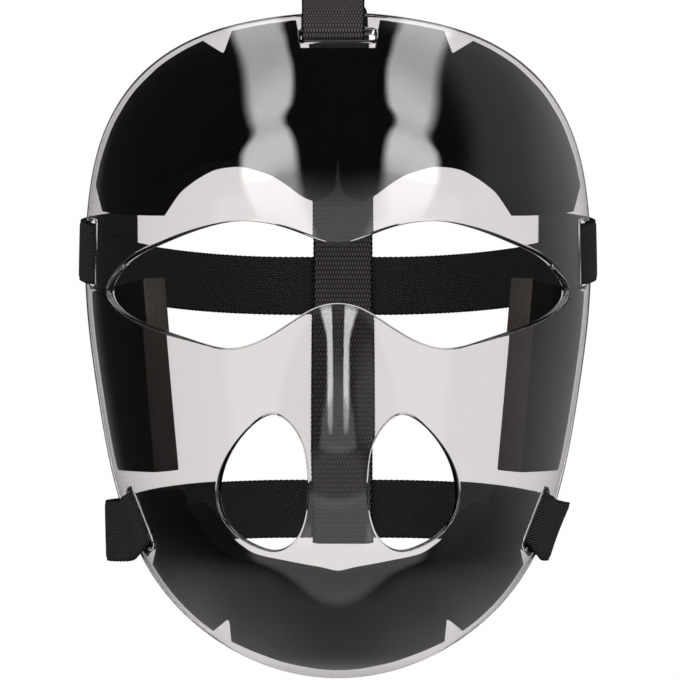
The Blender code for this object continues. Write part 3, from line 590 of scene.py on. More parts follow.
class UnrolledShell:
    """The shell's face laid flat: turns are kept, and distances from the middle are real."""

    def __init__(self):
        self.turns = np.linspace(0, math.pi, 361)
        self.shares = np.linspace(0, 1, 161)
        radius = rim_radius(self.turns)[:, None] * self.shares
        points, _ = shell_point(*on_turn(radius, self.turns[:, None]))
        steps = np.linalg.norm(np.diff(points, axis=1), axis=2)
        self.reach = np.concatenate([np.zeros((len(self.turns), 1)), np.cumsum(steps, axis=1)],
                                    axis=1)

    def rows(self, turn):
        """The two table rows round each turn, mixed."""
        at = np.clip(turn / math.pi * (len(self.turns) - 1), 0, len(self.turns) - 1.001)
        low = at.astype(int)
        mix = (at - low)[:, None]
        return (1 - mix) * self.reach[low] + mix * self.reach[low + 1]

    def flat(self, places):
        """Flat coordinates of front-view places."""
        up = places[:, 1] - WIDEST_HEIGHT
        turn = np.arctan2(np.abs(places[:, 0]), up)
        share = np.hypot(places[:, 0], up) / rim_radius(turn)
        rows = self.rows(turn)
        reach = np.array([np.interp(s, self.shares, row) for s, row in zip(share, rows)])
        return joined(np.sign(places[:, 0]) * reach * np.sin(turn), reach * np.cos(turn))

    def places(self, flat):
        """Front-view places of flat coordinates."""
        turn = np.arctan2(np.abs(flat[:, 0]), flat[:, 1])
        reach = np.hypot(flat[:, 0], flat[:, 1])
        share = np.array([np.interp(q, row, self.shares)
                          for q, row in zip(reach, self.rows(turn))])
        across, height = on_turn(share * rim_radius(turn), turn)
        return joined(np.sign(flat[:, 0]) * across, height)


def inside(points, polygon):
    """Which points lie inside a closed polygon."""
    result = np.zeros(len(points), bool)
    x, y = points[:, 0], points[:, 1]
    for (x0, y0), (x1, y1) in zip(polygon, np.roll(polygon, -1, axis=0)):
        if y0 == y1:
            continue
        crosses = (y0 > y) != (y1 > y)
        result ^= crosses & (x < (x1 - x0) * (y - y0) / (y1 - y0) + x0)
    return result


def far_from(points, others, distance):
    """Which points lie at least that far from all the others."""
    clear = np.ones(len(points), bool)
    for start in range(0, len(points), 2000):
        block = points[start:start + 2000]
        gap = np.linalg.norm(block[:, None] - others[None], axis=2).min(axis=1)
        clear[start:start + 2000] = gap > distance
    return clear


# ---- meshes


def new_object(name, data):
    """A new object in the scene, at the origin."""
    thing = bpy.data.objects.new(name, data)
    bpy.context.scene.collection.objects.link(thing)
    return thing


def mesh_object(name, vertices, faces):
    """A new object at the origin with its faces turned outwards and shaded smooth."""
    mesh = bpy.data.meshes.new(name)
    mesh.from_pydata([tuple(map(float, v)) for v in vertices], [], faces)
    work = bmesh.new()
    work.from_mesh(mesh)
    bmesh.ops.recalc_face_normals(work, faces=work.faces)
    work.to_mesh(mesh)
    work.free()
    mesh.shade_smooth()
    return new_object(name, mesh)


def ring_faces(rings, count):
    """The quads between rings of that many points each, one ring after the other."""
    return [(row * count + i, row * count + j, (row + 1) * count + j, (row + 1) * count + i)
            for row in range(rings - 1) for i, j in
            ((i, (i + 1) % count) for i in range(count))]


def final_mesh(thing):
    """The plain mesh that an object comes to with its modifiers."""
    bpy.context.view_layer.update()
    depsgraph = bpy.context.evaluated_depsgraph_get()
    return bpy.data.meshes.new_from_object(thing.evaluated_get(depsgraph), depsgraph=depsgraph)


def merged_copy(node):
    """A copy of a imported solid's mesh whose loose triangles are joined up."""
    work = bmesh.new()
    work.from_mesh(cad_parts[node].data)
    bmesh.ops.remove_doubles(work, verts=work.verts, dist=1e-5)
    return work


def settle(piece, nodes, material):
    """Give a piece its material, let it ride on the body and stand for its nodes."""
    piece.data.materials.clear()
    piece.data.materials.append(material)
    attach(piece, "root")
    if nodes:
        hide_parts(*nodes)


# ---- nodes


def feed(node, inputs):
    """Feed a node's inputs from values or from other nodes' sockets."""
    for name, value in inputs.items():
        if isinstance(value, bpy.types.NodeSocket):
            node.id_data.links.new(value, node.inputs[name])
        else:
            node.inputs[name].default_value = value


def add_node(tree, kind, inputs=None, **settings):
    """Add a node, set it up and feed its inputs."""
    node = tree.nodes.new(kind)
    for name, value in settings.items():
        setattr(node, name, value)
    feed(node, inputs or {})
    return node


def reckon(tree, operation, first, second=None, third=None, clamp=False):
    """The result of one Math node on sockets or numbers."""
    values = {i: v for i, v in enumerate((first, second, third)) if v is not None}
    node = add_node(tree, "ShaderNodeMath", values, operation=operation, use_clamp=clamp)
    return node.outputs[0]


def new_group(name, inputs, outputs):
    """A shader node group with named number inputs, and its input and output nodes."""
    tree = bpy.data.node_groups.new(name, "ShaderNodeTree")
    for label, value in inputs.items():
        kind = "NodeSocketVector" if label == "Vector" else "NodeSocketFloat"
        socket = tree.interface.new_socket(label, in_out="INPUT", socket_type=kind)
        if value is not None:
            socket.default_value = value
    for label in outputs:
        tree.interface.new_socket(label, in_out="OUTPUT", socket_type="NodeSocketFloat")
    start = tree.nodes.new("NodeGroupInput")
    end = tree.nodes.new("NodeGroupOutput")
    return tree, start.outputs, end.inputs


def new_material(name):
    """A material with its Principled shader."""
    material = bpy.data.materials.new(name)
    material.use_nodes = True
    return material, material.node_tree, material.node_tree.nodes["Principled BSDF"]


def mix_colours(tree, share, first, second):
    """A colour between two, by a share."""
    node = add_node(tree, "ShaderNodeMix", {"Factor": share}, data_type="RGBA")
    for name, value in (("A", first), ("B", second)):
        socket = [s for s in node.inputs if s.name == name and s.type == "RGBA"][0]
        if isinstance(value, bpy.types.NodeSocket):
            tree.links.new(value, socket)
        else:
            socket.default_value = (*value, 1.0)
    return [s for s in node.outputs if s.type == "RGBA"][0]


def bump(tree, height, distance, strength=1.0, normal=None):
    """The normal that a height field gives."""
    inputs = {"Height": height, "Distance": distance, "Strength": strength}
    if normal is not None:
        inputs["Normal"] = normal
    return add_node(tree, "ShaderNodeBump", inputs).outputs["Normal"]


def grain_group():
    """Foam or fibre grain: fine cells and soft mottling on object coordinates."""
    tree, given, result = new_group(
        "grain", {"Vector": None, "Cell": 0.0007, "Mottle": MOTTLE}, ("Height", "Mottle"))
    fine = reckon(tree, "DIVIDE", 1.0, given["Cell"])
    wide = reckon(tree, "DIVIDE", 1.0, given["Mottle"])
    cells = add_node(tree, "ShaderNodeTexVoronoi", {"Vector": given["Vector"], "Scale": fine},
                     feature="SMOOTH_F1")
    mottle = add_node(tree, "ShaderNodeTexNoise",
                      {"Vector": given["Vector"], "Scale": wide, "Detail": 4.0})
    tree.links.new(cells.outputs["Distance"], result["Height"])
    tree.links.new(mottle.outputs["Fac"], result["Mottle"])
    return tree


def twill_group():
    """Woven elastic: diagonal ridges broken into yarn floats, from a strap's own UV map."""
    tree, given, result = new_group(
        "twill", {"Across": 0.0, "Along": 0.0, "Inner": 0.0, "Pitch": 0.00144},
        ("Height", "Shade"))
    slanted = reckon(tree, "MULTIPLY", given["Across"], TWILL_SLANT)
    course = reckon(tree, "ADD", given["Along"], slanted)
    finer = reckon(tree, "MULTIPLY_ADD", given["Inner"], -TWILL_FINER, 1.0)
    pitch = reckon(tree, "MULTIPLY", given["Pitch"], finer)
    turns = reckon(tree, "DIVIDE", course, pitch)
    ridge = reckon(tree, "SINE", reckon(tree, "MULTIPLY", turns, 2 * math.pi))
    floats = reckon(tree, "DIVIDE", given["Across"], pitch)
    yarn = reckon(tree, "SINE", reckon(tree, "MULTIPLY", floats, TWILL_YARN * math.pi))
    both = reckon(tree, "ADD", reckon(tree, "MULTIPLY", ridge, TWILL_HEIGHTS[0]),
                  reckon(tree, "MULTIPLY", yarn, TWILL_HEIGHTS[1]))
    height = reckon(tree, "ADD", both, TWILL_HEIGHTS[2], clamp=True)
    tree.links.new(height, result["Height"])
    # Shade: painted shade that darkens all but the tops of the twill's ridges
    tree.links.new(reckon(tree, "POWER", height, TWILL_SHADE_CONTRAST, clamp=True), result["Shade"])
    return tree


def rib_group():
    """Ribbed webbing: rows of short floats, each row shifted by half, from a strap's UV map."""
    tree, given, result = new_group(
        "ribs", {"Across": 0.0, "Along": 0.0, "Inner": 0.0, "Rib": 0.00185, "Warp": 0.00107},
        ("Height", "Shade"))
    finer = reckon(tree, "MULTIPLY_ADD", given["Inner"], -RIB_FINER, 1.0)
    rows = reckon(tree, "DIVIDE", given["Along"], reckon(tree, "MULTIPLY", given["Rib"], finer))
    row = reckon(tree, "FLOOR", rows)
    bowed = reckon(tree, "SINE", reckon(tree, "MULTIPLY", reckon(tree, "FRACT", rows), math.pi))
    columns = reckon(tree, "DIVIDE", given["Across"], given["Warp"])
    shifted = reckon(tree, "ADD", columns, reckon(tree, "MULTIPLY", row, 0.5))
    yarn = reckon(tree, "SINE", reckon(tree, "MULTIPLY", reckon(tree, "FRACT", shifted), math.pi))
    height = reckon(tree, "MULTIPLY", reckon(tree, "POWER", bowed, RIB_SQUARE[0]),
                    reckon(tree, "POWER", yarn, RIB_SQUARE[1]))
    tree.links.new(height, result["Height"])
    # Shade: painted shade that darkens all but the tops of the ribs' floats
    tree.links.new(reckon(tree, "POWER", height, RIB_SHADE_CONTRAST, clamp=True), result["Shade"])
    return tree


def shared_group(name, maker):
    """A node group, built the first time that it is asked for."""
    return bpy.data.node_groups.get(name) or maker()


def shell_material(settings):
    """Clear polished plastic with faint handling marks."""
    material, tree, shader = new_material("clear_polycarbonate")
    place = add_node(tree, "ShaderNodeTexCoord").outputs["Object"]
    marks = add_node(tree, "ShaderNodeGroup", node_tree=shared_group("grain", grain_group),
                     inputs={"Vector": place, "Cell": HANDLING_CELL, "Mottle": HANDLING_MOTTLE})
    rough = reckon(tree, "MULTIPLY_ADD", marks.outputs["Mottle"], settings.haze, settings.haze / 2)
    feed(shader, {"Base Color": (*settings.tint, 1.0), "Transmission Weight": 1.0,
                  "IOR": settings.bending, "Roughness": rough})
    return material


def foam_material(settings):
    """Black closed-cell foam with a fine skin and browner, coarser cut edges."""
    material, tree, shader = new_material("black_foam_grain")
    place = add_node(tree, "ShaderNodeTexCoord").outputs["Object"]
    cut = add_node(tree, "ShaderNodeAttribute", attribute_name="cut_edge").outputs["Fac"]
    skin, open_cells = (
        add_node(tree, "ShaderNodeGroup", node_tree=shared_group("grain", grain_group),
                 inputs={"Vector": place, "Cell": settings.cell * wider, "Mottle": mottle})
        for wider, mottle in ((1.0, MOTTLE), (CUT_CELL, CUT_MOTTLE)))
    skin_dark = tuple(c * SKIN_DARKEST for c in settings.skin)
    cut_dark = tuple(c * CUT_DARKEST for c in settings.cut)
    face = mix_colours(tree, skin.outputs["Mottle"], skin_dark, settings.skin)
    edge = mix_colours(tree, open_cells.outputs["Height"], settings.cut, cut_dark)
    fine = bump(tree, skin.outputs["Height"], SKIN_RELIEF, 0.5)
    coarse = reckon(tree, "MULTIPLY", open_cells.outputs["Height"], cut)
    feed(shader, {"Base Color": mix_colours(tree, cut, face, edge),
                  "Roughness": reckon(tree, "MULTIPLY_ADD", cut, CUT_ROUGHER, SKIN_ROUGH),
                  "Specular IOR Level": FOAM_GLOSS,
                  "Normal": bump(tree, coarse, CUT_RELIEF, 0.8, fine)})
    return material


def cloth_material(name, yarn, group, relief, inputs):
    """Woven yarn with a painted highlight on its ridges and painted shade in its valleys."""
    material, tree, shader = new_material(name)
    uv = add_node(tree, "ShaderNodeUVMap", uv_map="strap").outputs["UV"]
    parts = add_node(tree, "ShaderNodeSeparateXYZ", {"Vector": uv}).outputs
    inner = reckon(tree, "GREATER_THAN", parts["X"], INNER_FACE / 2)
    across = reckon(tree, "SUBTRACT", parts["X"], reckon(tree, "MULTIPLY", inner, INNER_FACE))
    weave = add_node(tree, "ShaderNodeGroup", node_tree=group, inputs={
        "Across": across, "Along": parts["Y"], "Inner": inner, **inputs})
    # The base colour runs from painted shade in the valleys to a painted highlight on the ridges
    valley_shade = tuple(c * VALLEY_PAINTED_SHADE for c in yarn)
    ridge = tuple(c * RIDGE_PAINTED_HIGHLIGHT for c in yarn)
    shade = weave.outputs["Shade"]
    feed(shader, {"Base Color": mix_colours(tree, shade, valley_shade, ridge),
                  "Roughness": reckon(tree, "MULTIPLY_ADD", shade, -RIDGE_SMOOTHER, CLOTH_ROUGH),
                  "Specular IOR Level": CLOTH_GLOSS,
                  "Normal": bump(tree, weave.outputs["Height"], relief, 0.9)})
    return material


def elastic_material(settings):
    """Black twill elastic."""
    return cloth_material("black_twill_elastic", settings.elastic,
                          shared_group("twill", twill_group), TWILL_RELIEF,
                          {"Pitch": settings.twill})


def webbing_material(settings):
    """Black ribbed webbing."""
    return cloth_material("black_ribbed_webbing", settings.webbing,
                          shared_group("ribs", rib_group), RIB_RELIEF,
                          {"Rib": settings.rib, "Warp": settings.warp})


# ---- pieces


def edge_ways(places, rim):
    """For each place of a closed outline, the way in the wall from the shell's side to the air."""
    points, normals = shell_point(places[:, 0], places[:, 1])
    ahead = unit(np.roll(points, -1, axis=0) - np.roll(points, 1, axis=0))
    x, z = places[:, 0], places[:, 1]
    area = np.sum(x * np.roll(z, -1) - np.roll(x, -1) * z) / 2
    way = unit(np.cross(ahead, normals)) * np.sign(area)
    return points, way if rim else -way


def shell_outlines():
    """The front-view outlines of the rim and of every opening, the rim first."""
    outlines = [rim_outline(), eye_outline()]
    for side in (1, -1):
        outlines.append(breathing_outline(side))
        for turn, setback in ((UPPER_SLOT_TURN, UPPER_SETBACK), (LOWER_SLOT_TURN, LOWER_SETBACK)):
            outlines.append(slot_outline(math.radians(turn), setback, ELASTIC_SLOT_LENGTH, side))
    return outlines + [slot_outline(0.0, CROWN_SETBACK, CROWN_SLOT_LENGTH, 1)]


def between(points, outlines):
    """Which points lie inside the first outline and outside all the others."""
    keep = inside(points, outlines[0])
    for hole in outlines[1:]:
        keep &= ~inside(points, hole)
    return keep


def even_grid(outlines, facet):
    """Points between the flat outlines in rows of even triangles."""
    reach = np.abs(outlines[0]).max() + facet
    grid = np.array([(x + (facet / 2 if row % 2 else 0), y)
                     for row, y in enumerate(np.arange(-reach, reach, facet * math.sqrt(3) / 2))
                     for x in np.arange(-reach, reach, facet)])
    grid = grid[between(grid, outlines)]
    return grid[far_from(grid, np.concatenate(outlines), GRID_GAP * facet)]


def triangles_between(outlines, grid):
    """The triangles between the flat outlines, through all their points and the grid's."""
    flat = np.concatenate(outlines + [grid])
    edges, start = [], 0
    for loop in outlines:
        count = len(loop)
        edges += [(start + i, start + (i + 1) % count) for i in range(count)]
        start += count
    scaled = [Vector((x, y)) for x, y in flat * 1000]
    found, _, triangles, origins, _, _ = delaunay_2d_cdt(scaled, edges, [], 0, 1e-6)
    if len(found) != len(flat):
        raise RuntimeError("the shell's outlines cross each other")
    source = np.array([origin[0] for origin in origins])
    triangles = source[np.array(triangles)]
    return triangles[between(flat[triangles].mean(axis=1), outlines)]


def make_shell_mesh(facet, edge_round, bending):
    """The shell as one closed skin: outer face, inner face and rounded edges between them."""
    unrolled = UnrolledShell()
    loops, ways = [], []
    for number, outline in enumerate(shell_outlines()):
        points, way = edge_ways(even_loop(outline, OUTLINE_SPACING * facet), number == 0)
        loops.append((points - way * edge_round)[:, (0, 2)])
        ways.append(way)
    flats = [unrolled.flat(loop) for loop in loops]
    grid = even_grid(flats, facet)
    triangles = triangles_between(flats, grid)
    places = np.concatenate(loops + [unrolled.places(grid)])
    outer, normals = shell_point(places[:, 0], places[:, 1])
    inner = formed_wall(outer, normals, bending)
    total = len(outer)
    vertices, ways_out = [outer, inner], [normals, -normals]
    faces = [tuple(t) for t in triangles] + [tuple(t[::-1] + total) for t in triangles]
    made, start = 2 * total, 0
    for way in ways:
        count = len(way)
        own = np.arange(start, start + count)
        rings = [own]
        centre = (outer[own] + inner[own]) / 2
        for step in range(1, EDGE_STEPS):
            angle = math.pi * step / EDGE_STEPS
            out = math.copysign(abs(math.cos(angle))**EDGE_SQUARENESS, math.cos(angle))
            over = math.sin(angle)**EDGE_SQUARENESS * edge_round
            vertices.append(centre + (outer[own] - inner[own]) * out / 2 + way * over)
            lean = math.cos(angle) * edge_round, math.sin(angle) * SHELL_WALL / 2
            ways_out.append(unit(normals[own] * lean[0] + way * lean[1]))
            rings.append(np.arange(made, made + count))
            made += count
        rings.append(own + total)
        faces += [quad for first, second in zip(rings, rings[1:])
                  for quad in zip(first, np.roll(first, -1), np.roll(second, -1), second)]
        start += count
    return (np.concatenate(vertices), [tuple(int(i) for i in face) for face in faces],
            np.concatenate(ways_out))


def cut_edges(mesh, cut_unshaded):
    """Mark on each point of a pad how much it belongs to the pad's cut edges and takes their cut
    colour.
    The forehead and chin pads' cut edges take none and keep the skin's black as painted shade."""
    count = len(mesh.vertices)
    points, normals = np.zeros(count * 3), np.zeros(count * 3)
    mesh.vertices.foreach_get("co", points)
    mesh.vertices.foreach_get("normal", normals)
    points, normals = points.reshape(-1, 3), normals.reshape(-1, 3)
    _, wall = shell_point(points[:, 0], points[:, 2])
    facing = np.abs(np.sum(normals * wall, axis=1))
    mark = mesh.attributes.new("cut_edge", "FLOAT", "POINT")
    share = cut_unshaded * (1 - smooth_share((facing - CUT_FACING[0])
                                     / (CUT_FACING[1] - CUT_FACING[0])))
    mark.data.foreach_set("value", share.astype(np.float32))


def make_pad(node, corner):
    """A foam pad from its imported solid, with soft corners and a smooth curve."""
    work = merged_copy(node)
    bmesh.ops.join_triangles(work, faces=work.faces, angle_face_threshold=math.radians(25),
                             angle_shape_threshold=math.radians(60))
    mesh = bpy.data.meshes.new(f"{node}_foam")
    work.to_mesh(mesh)
    work.free()
    mesh.shade_smooth()
    pad = new_object(mesh.name, mesh)
    bevel = pad.modifiers.new("corner", "BEVEL")
    bevel.width = corner
    bevel.segments = 2
    bevel.limit_method = "ANGLE"
    bevel.angle_limit = math.radians(38)
    smooth = pad.modifiers.new("smooth", "SUBSURF")
    smooth.levels = smooth.render_levels = 2
    plain = final_mesh(pad)
    pad.modifiers.clear()
    pad.data = plain
    # Painted shade: the forehead and chin pads' cut edges keep the skin's black
    cut_edges(plain, 1.0 if node in PADS_WITH_UNSHADED_CUTS else 0.0)
    return pad


def is_section(corners, width, thickness):
    """Whether four points form a strap's plain rectangular section."""
    gaps = sorted(np.linalg.norm(corners[i] - corners[j]) for i in range(4) for j in range(i))
    wanted = (thickness, thickness, width, width)
    return all(abs(gap - want) < 0.1 * thickness for gap, want in zip(gaps, wanted))


def strap_levels(near, cap):
    """Sets of a strap's points, each one edge further from its end cap than the set before."""
    levels, seen, front = [], set(cap), set(cap)
    while front:
        levels.append(sorted(front))
        front = {n for v in front for n in near[v]} - seen
        seen |= front
    return levels


def strap_rings(node, width, thickness):
    """The four corner points of each section of a packed strap, from one end to the other."""
    work = merged_copy(node)
    near = {v.index: {e.other_vert(v).index for e in v.link_edges} for v in work.verts}
    points = np.array([v.co[:] for v in work.verts])
    caps = [sorted({v.index for face in edge.link_faces for v in face.verts})
            for edge in work.edges]
    work.free()
    rings = []
    for cap in caps:
        if len(cap) == 4 and is_section(points[cap], width, thickness):
            found = [points[level] for level in strap_levels(near, cap) if len(level) == 4
                     and is_section(points[level], width, thickness)]
            if len(found) > len(rings):
                rings = found
    if not rings:
        raise RuntimeError(f"{node} isn't a plain strap")

    def squareness(corners):
        sides = (corners - np.roll(corners, -2, axis=0))[:2]
        edges = (corners - np.roll(corners, -1, axis=0))[1::2]
        return np.linalg.norm(edges, axis=1).sum() - np.linalg.norm(sides, axis=1).sum()

    ordered = [min((rings[0][list(p)] for p in permutations(range(4))), key=squareness)]
    for ring in rings[1:]:
        last = ordered[-1]
        shift = ring.mean(axis=0) - last.mean(axis=0)
        ordered.append(min((ring[list(p)] for p in permutations(range(4))),
                           key=lambda corners: np.sum((corners - last - shift)**2)))
    return np.array(ordered)


def strap_course(node, step):
    """A strap's centre line, width ways and face ways, evenly spaced and smooth."""
    width = WEBBING_WIDTH if node == "crown_strap" else ELASTIC_WIDTH
    thickness = STRAP_THICKNESS
    rings = strap_rings(node, width, thickness)
    centres = rings.mean(axis=1)
    across = unit(rings[:, 0] + rings[:, 3] - rings[:, 1] - rings[:, 2])
    run = arc_lengths(centres)
    added = [run[i] + share * (run[i + 1] - run[i])
             for i in np.flatnonzero(np.diff(run) > STRAIGHT_RUN)
             for share in STRAIGHT_KNOTS]
    knots = np.sort(np.concatenate([run, added]))
    at = np.linspace(0, run[-1], max(8, round(run[-1] / step)))
    path, ways = (np.stack([spline(knots, np.interp(knots, run, given[:, k]))(at)
                            for k in range(3)], axis=-1) for given in (centres, across))
    ahead = unit(np.gradient(path, axis=0))
    ways = unit(ways - np.sum(ways * ahead, axis=1, keepdims=True) * ahead)
    return path, ways, np.cross(ahead, ways), at, width, thickness


def section(width, thickness):
    """A strap's section, round its edges: its places across and out."""
    across = np.linspace(-1, 1, 15)
    half = []
    for share in across:
        edge = max(0.0, abs(share) * width / 2 - (width / 2 - thickness / 2)) / (thickness / 2)
        out = thickness / 2 * math.sqrt(max(0.0, 1 - edge**2)) * (1 - EDGE_THINNER * abs(share)**3)
        half.append((share * width / 2, max(out, thickness * EDGE_LEAST)))
    return half + [(x, -y) for x, y in half[::-1]]


def make_strap(name, node, step):
    """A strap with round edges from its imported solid, with a UV map in metres."""
    path, ways, outs, at, width, thickness = strap_course(node, step)
    outline = section(width, thickness)
    first = len(path) // 2 if node != "crown_strap" else 0
    inner_sign = math.copysign(1, outs[first] @ (HEAD_MIDDLE - Vector(path[first])))
    count = len(outline)
    vertices = np.concatenate([path[:, None] + ways[:, None] * x + outs[:, None] * y
                               for x, y in outline], axis=1).reshape(-1, 3)
    last = (len(path) - 1) * count
    faces = ring_faces(len(path), count)
    faces += [tuple(range(count)), tuple(range(last, last + count))]
    strap = mesh_object(name, vertices, faces)
    strap.data.set_sharp_from_angle(angle=math.radians(60))
    layer = strap.data.uv_layers.new(name="strap")
    across = np.tile([x for x, _ in outline], len(path))
    outward = np.tile([y for _, y in outline], len(path))
    along = np.repeat(at, count)
    corners = np.zeros(len(strap.data.loops), int)
    strap.data.loops.foreach_get("vertex_index", corners)
    places = np.stack([across[corners], along[corners]], axis=-1)
    for face in strap.data.polygons:
        loops = list(face.loop_indices)
        if outward[corners[loops]].sum() * inner_sign > 0:
            places[loops, 0] += INNER_FACE
    layer.data.foreach_set("uv", places.ravel())
    return strap


def selvedge_tree():
    """Geometry nodes that set a small yarn loop at each pitch along a strap's edges."""
    tree = bpy.data.node_groups.new("selvedge", "GeometryNodeTree")
    face = tree.interface
    face.new_socket("Geometry", in_out="INPUT", socket_type="NodeSocketGeometry")
    for name, value in (("Pitch", 0.0018), ("Length", 0.0017), ("Thickness", 0.0009)):
        socket = face.new_socket(name, in_out="INPUT", socket_type="NodeSocketFloat")
        socket.default_value = value
    face.new_socket("Material", in_out="INPUT", socket_type="NodeSocketMaterial")
    face.new_socket("Geometry", in_out="OUTPUT", socket_type="NodeSocketGeometry")
    given = tree.nodes.new("NodeGroupInput").outputs
    result = tree.nodes.new("NodeGroupOutput").inputs
    spaced = add_node(tree, "GeometryNodeResampleCurve",
                      {"Curve": given["Geometry"], "Length": given["Pitch"]}, mode="LENGTH")
    bead = add_node(tree, "GeometryNodeMeshUVSphere", {"Segments": 6, "Rings": 4, "Radius": 0.5})
    size = add_node(tree, "ShaderNodeCombineXYZ", {"X": given["Thickness"],
                                                   "Y": given["Thickness"],
                                                   "Z": given["Length"]})
    tangent = add_node(tree, "GeometryNodeInputTangent")
    turned = add_node(tree, "FunctionNodeAlignRotationToVector",
                      {"Vector": tangent.outputs["Tangent"]}, axis="Z")
    placed = add_node(tree, "GeometryNodeInstanceOnPoints",
                      {"Points": spaced.outputs["Curve"], "Instance": bead.outputs["Mesh"],
                       "Rotation": turned.outputs["Rotation"], "Scale": size.outputs["Vector"]})
    real = add_node(tree, "GeometryNodeRealizeInstances",
                    {"Geometry": placed.outputs["Instances"]})
    shaded = add_node(tree, "GeometryNodeSetMaterial",
                      {"Geometry": real.outputs["Geometry"], "Material": given["Material"]})
    tree.links.new(shaded.outputs["Geometry"], result["Geometry"])
    return tree


def make_selvedge(name, node, pitch, material):
    """The row of yarn loops down both edges of a strap, as one plain mesh."""
    path, ways, _, _, width, thickness = strap_course(node, pitch / 2)
    curve = bpy.data.curves.new(f"{name}_line", "CURVE")
    curve.dimensions = "3D"
    for side in (-1, 1):
        line = curve.splines.new("POLY")
        line.points.add(len(path) - 1)
        points = path + ways * side * (width / 2 - thickness * LOOP_INSET)
        line.points.foreach_set("co", np.hstack([points, np.ones((len(path), 1))]).ravel())
    guide = new_object(curve.name, curve)
    tree = bpy.data.node_groups.get("selvedge") or selvedge_tree()
    modifier = guide.modifiers.new("selvedge", "NODES")
    modifier.node_group = tree
    names = {item.name: item.identifier for item in tree.interface.items_tree
             if item.item_type == "SOCKET" and item.in_out == "INPUT"}
    modifier[names["Pitch"]] = pitch
    modifier[names["Length"]] = pitch * LOOP_LENGTH
    modifier[names["Thickness"]] = thickness * LOOP_THICKNESS
    modifier[names["Material"]] = material
    mesh = final_mesh(guide)
    bpy.data.objects.remove(guide)
    mesh.shade_smooth()
    return new_object(name, mesh)


class MASK_OT_shell(bpy.types.Operator):
    """Build the clear shell"""

    bl_idname = "mask.shell"
    bl_label = "Clear Shell"

    def execute(self, context):
        settings = context.scene.mask_shell
        vertices, faces, normals = make_shell_mesh(settings.facet, settings.edge_round,
                                                   settings.bending)
        shell = mesh_object("clear_face_shell", vertices, faces)
        shell.data.normals_split_custom_set_from_vertices(normals)
        settle(shell, ["shell"], shell_material(settings))
        return {"FINISHED"}


class MASK_OT_pads(bpy.types.Operator):
    """Build the four foam pads"""

    bl_idname = "mask.pads"
    bl_label = "Foam Pads"

    def execute(self, context):
        settings = context.scene.mask_foam
        material = foam_material(settings)
        for node in ("forehead_pad", "cheek_pad_left", "cheek_pad_right", "chin_pad"):
            pad = make_pad(node, settings.corner)
            settle(pad, [node], material)
        return {"FINISHED"}


def add_strap(node, names, settings, pitch, material):
    """A strap and the row of yarn loops down its edges, as two pieces with those names."""
    strap = make_strap(names[0], node, settings.step)
    settle(strap, [node], material)
    settle(make_selvedge(names[1], node, pitch, material), [], material)


class MASK_OT_head_straps(bpy.types.Operator):
    """Build the two elastics round the head"""

    bl_idname = "mask.head_straps"
    bl_label = "Head Straps"

    def execute(self, context):
        settings = context.scene.mask_straps
        material = elastic_material(settings)
        for node in ("upper_strap", "lower_strap"):
            add_strap(node, (f"{node}_elastic", f"{node}_selvedge"), settings,
                      settings.twill * ELASTIC_LOOPS, material)
        return {"FINISHED"}


class MASK_OT_crown_strap(bpy.types.Operator):
    """Build the webbing over the head"""

    bl_idname = "mask.crown_strap"
    bl_label = "Crown Strap"

    def execute(self, context):
        settings = context.scene.mask_straps
        add_strap("crown_strap", ("crown_webbing", "crown_webbing_selvedge"),
                  settings, settings.rib, webbing_material(settings))
        return {"FINISHED"}


# ---- stage


def glow(tree, toward, begins, full, brightness):
    """A brightness that rises softly from nothing where it begins to all of it where it is full."""
    share = add_node(tree, "ShaderNodeMapRange", {"Value": toward, "From Min": begins,
                                                  "From Max": full},
                     interpolation_type="SMOOTHSTEP").outputs["Result"]
    return reckon(tree, "MULTIPLY", share, brightness)


def band_curve(tree, turn, values):
    """The value of a column of the band's table at a turn, from 0 in front to 1 behind."""
    node = add_node(tree, "ShaderNodeFloatCurve", {"Value": turn})
    points = node.mapping.curves[0].points
    places = [(row.turn / 180, value) for row, value in zip(BAND, values)]
    points[0].location = places[0]
    points[-1].location = (1.0, places[-1][1])
    for place in places[1:]:
        points.new(*place)
    node.mapping.extend = "HORIZONTAL"
    node.mapping.update()
    return node.outputs["Value"]


def bright_bands(tree, parts, brightness):
    """Two bright soft-edged bands, one on each side, from the front over the top."""
    to_side = reckon(tree, "ABSOLUTE", parts["X"])
    on_right = reckon(tree, "GREATER_THAN", parts["X"], 0.0)
    to_side = reckon(tree, "SUBTRACT", to_side, reckon(tree, "MULTIPLY", on_right, RIGHT_SHIFT))
    turn = reckon(tree, "ARCTAN2", parts["Z"], reckon(tree, "MULTIPLY", parts["Y"], -1.0))
    turn = reckon(tree, "DIVIDE", turn, math.pi, clamp=True)
    edges = []
    for values in ([row.inner for row in BAND], [row.outer for row in BAND]):
        edge = band_curve(tree, turn, values)
        begins = reckon(tree, "SUBTRACT", edge, BAND_EDGE)
        full = reckon(tree, "ADD", edge, BAND_EDGE)
        edges.append(glow(tree, to_side, begins, full, 1.0))
    share = band_curve(tree, turn, [row.share for row in BAND])
    within = reckon(tree, "SUBTRACT", edges[0], edges[1], clamp=True)
    return reckon(tree, "MULTIPLY", reckon(tree, "MULTIPLY", within, share), brightness)


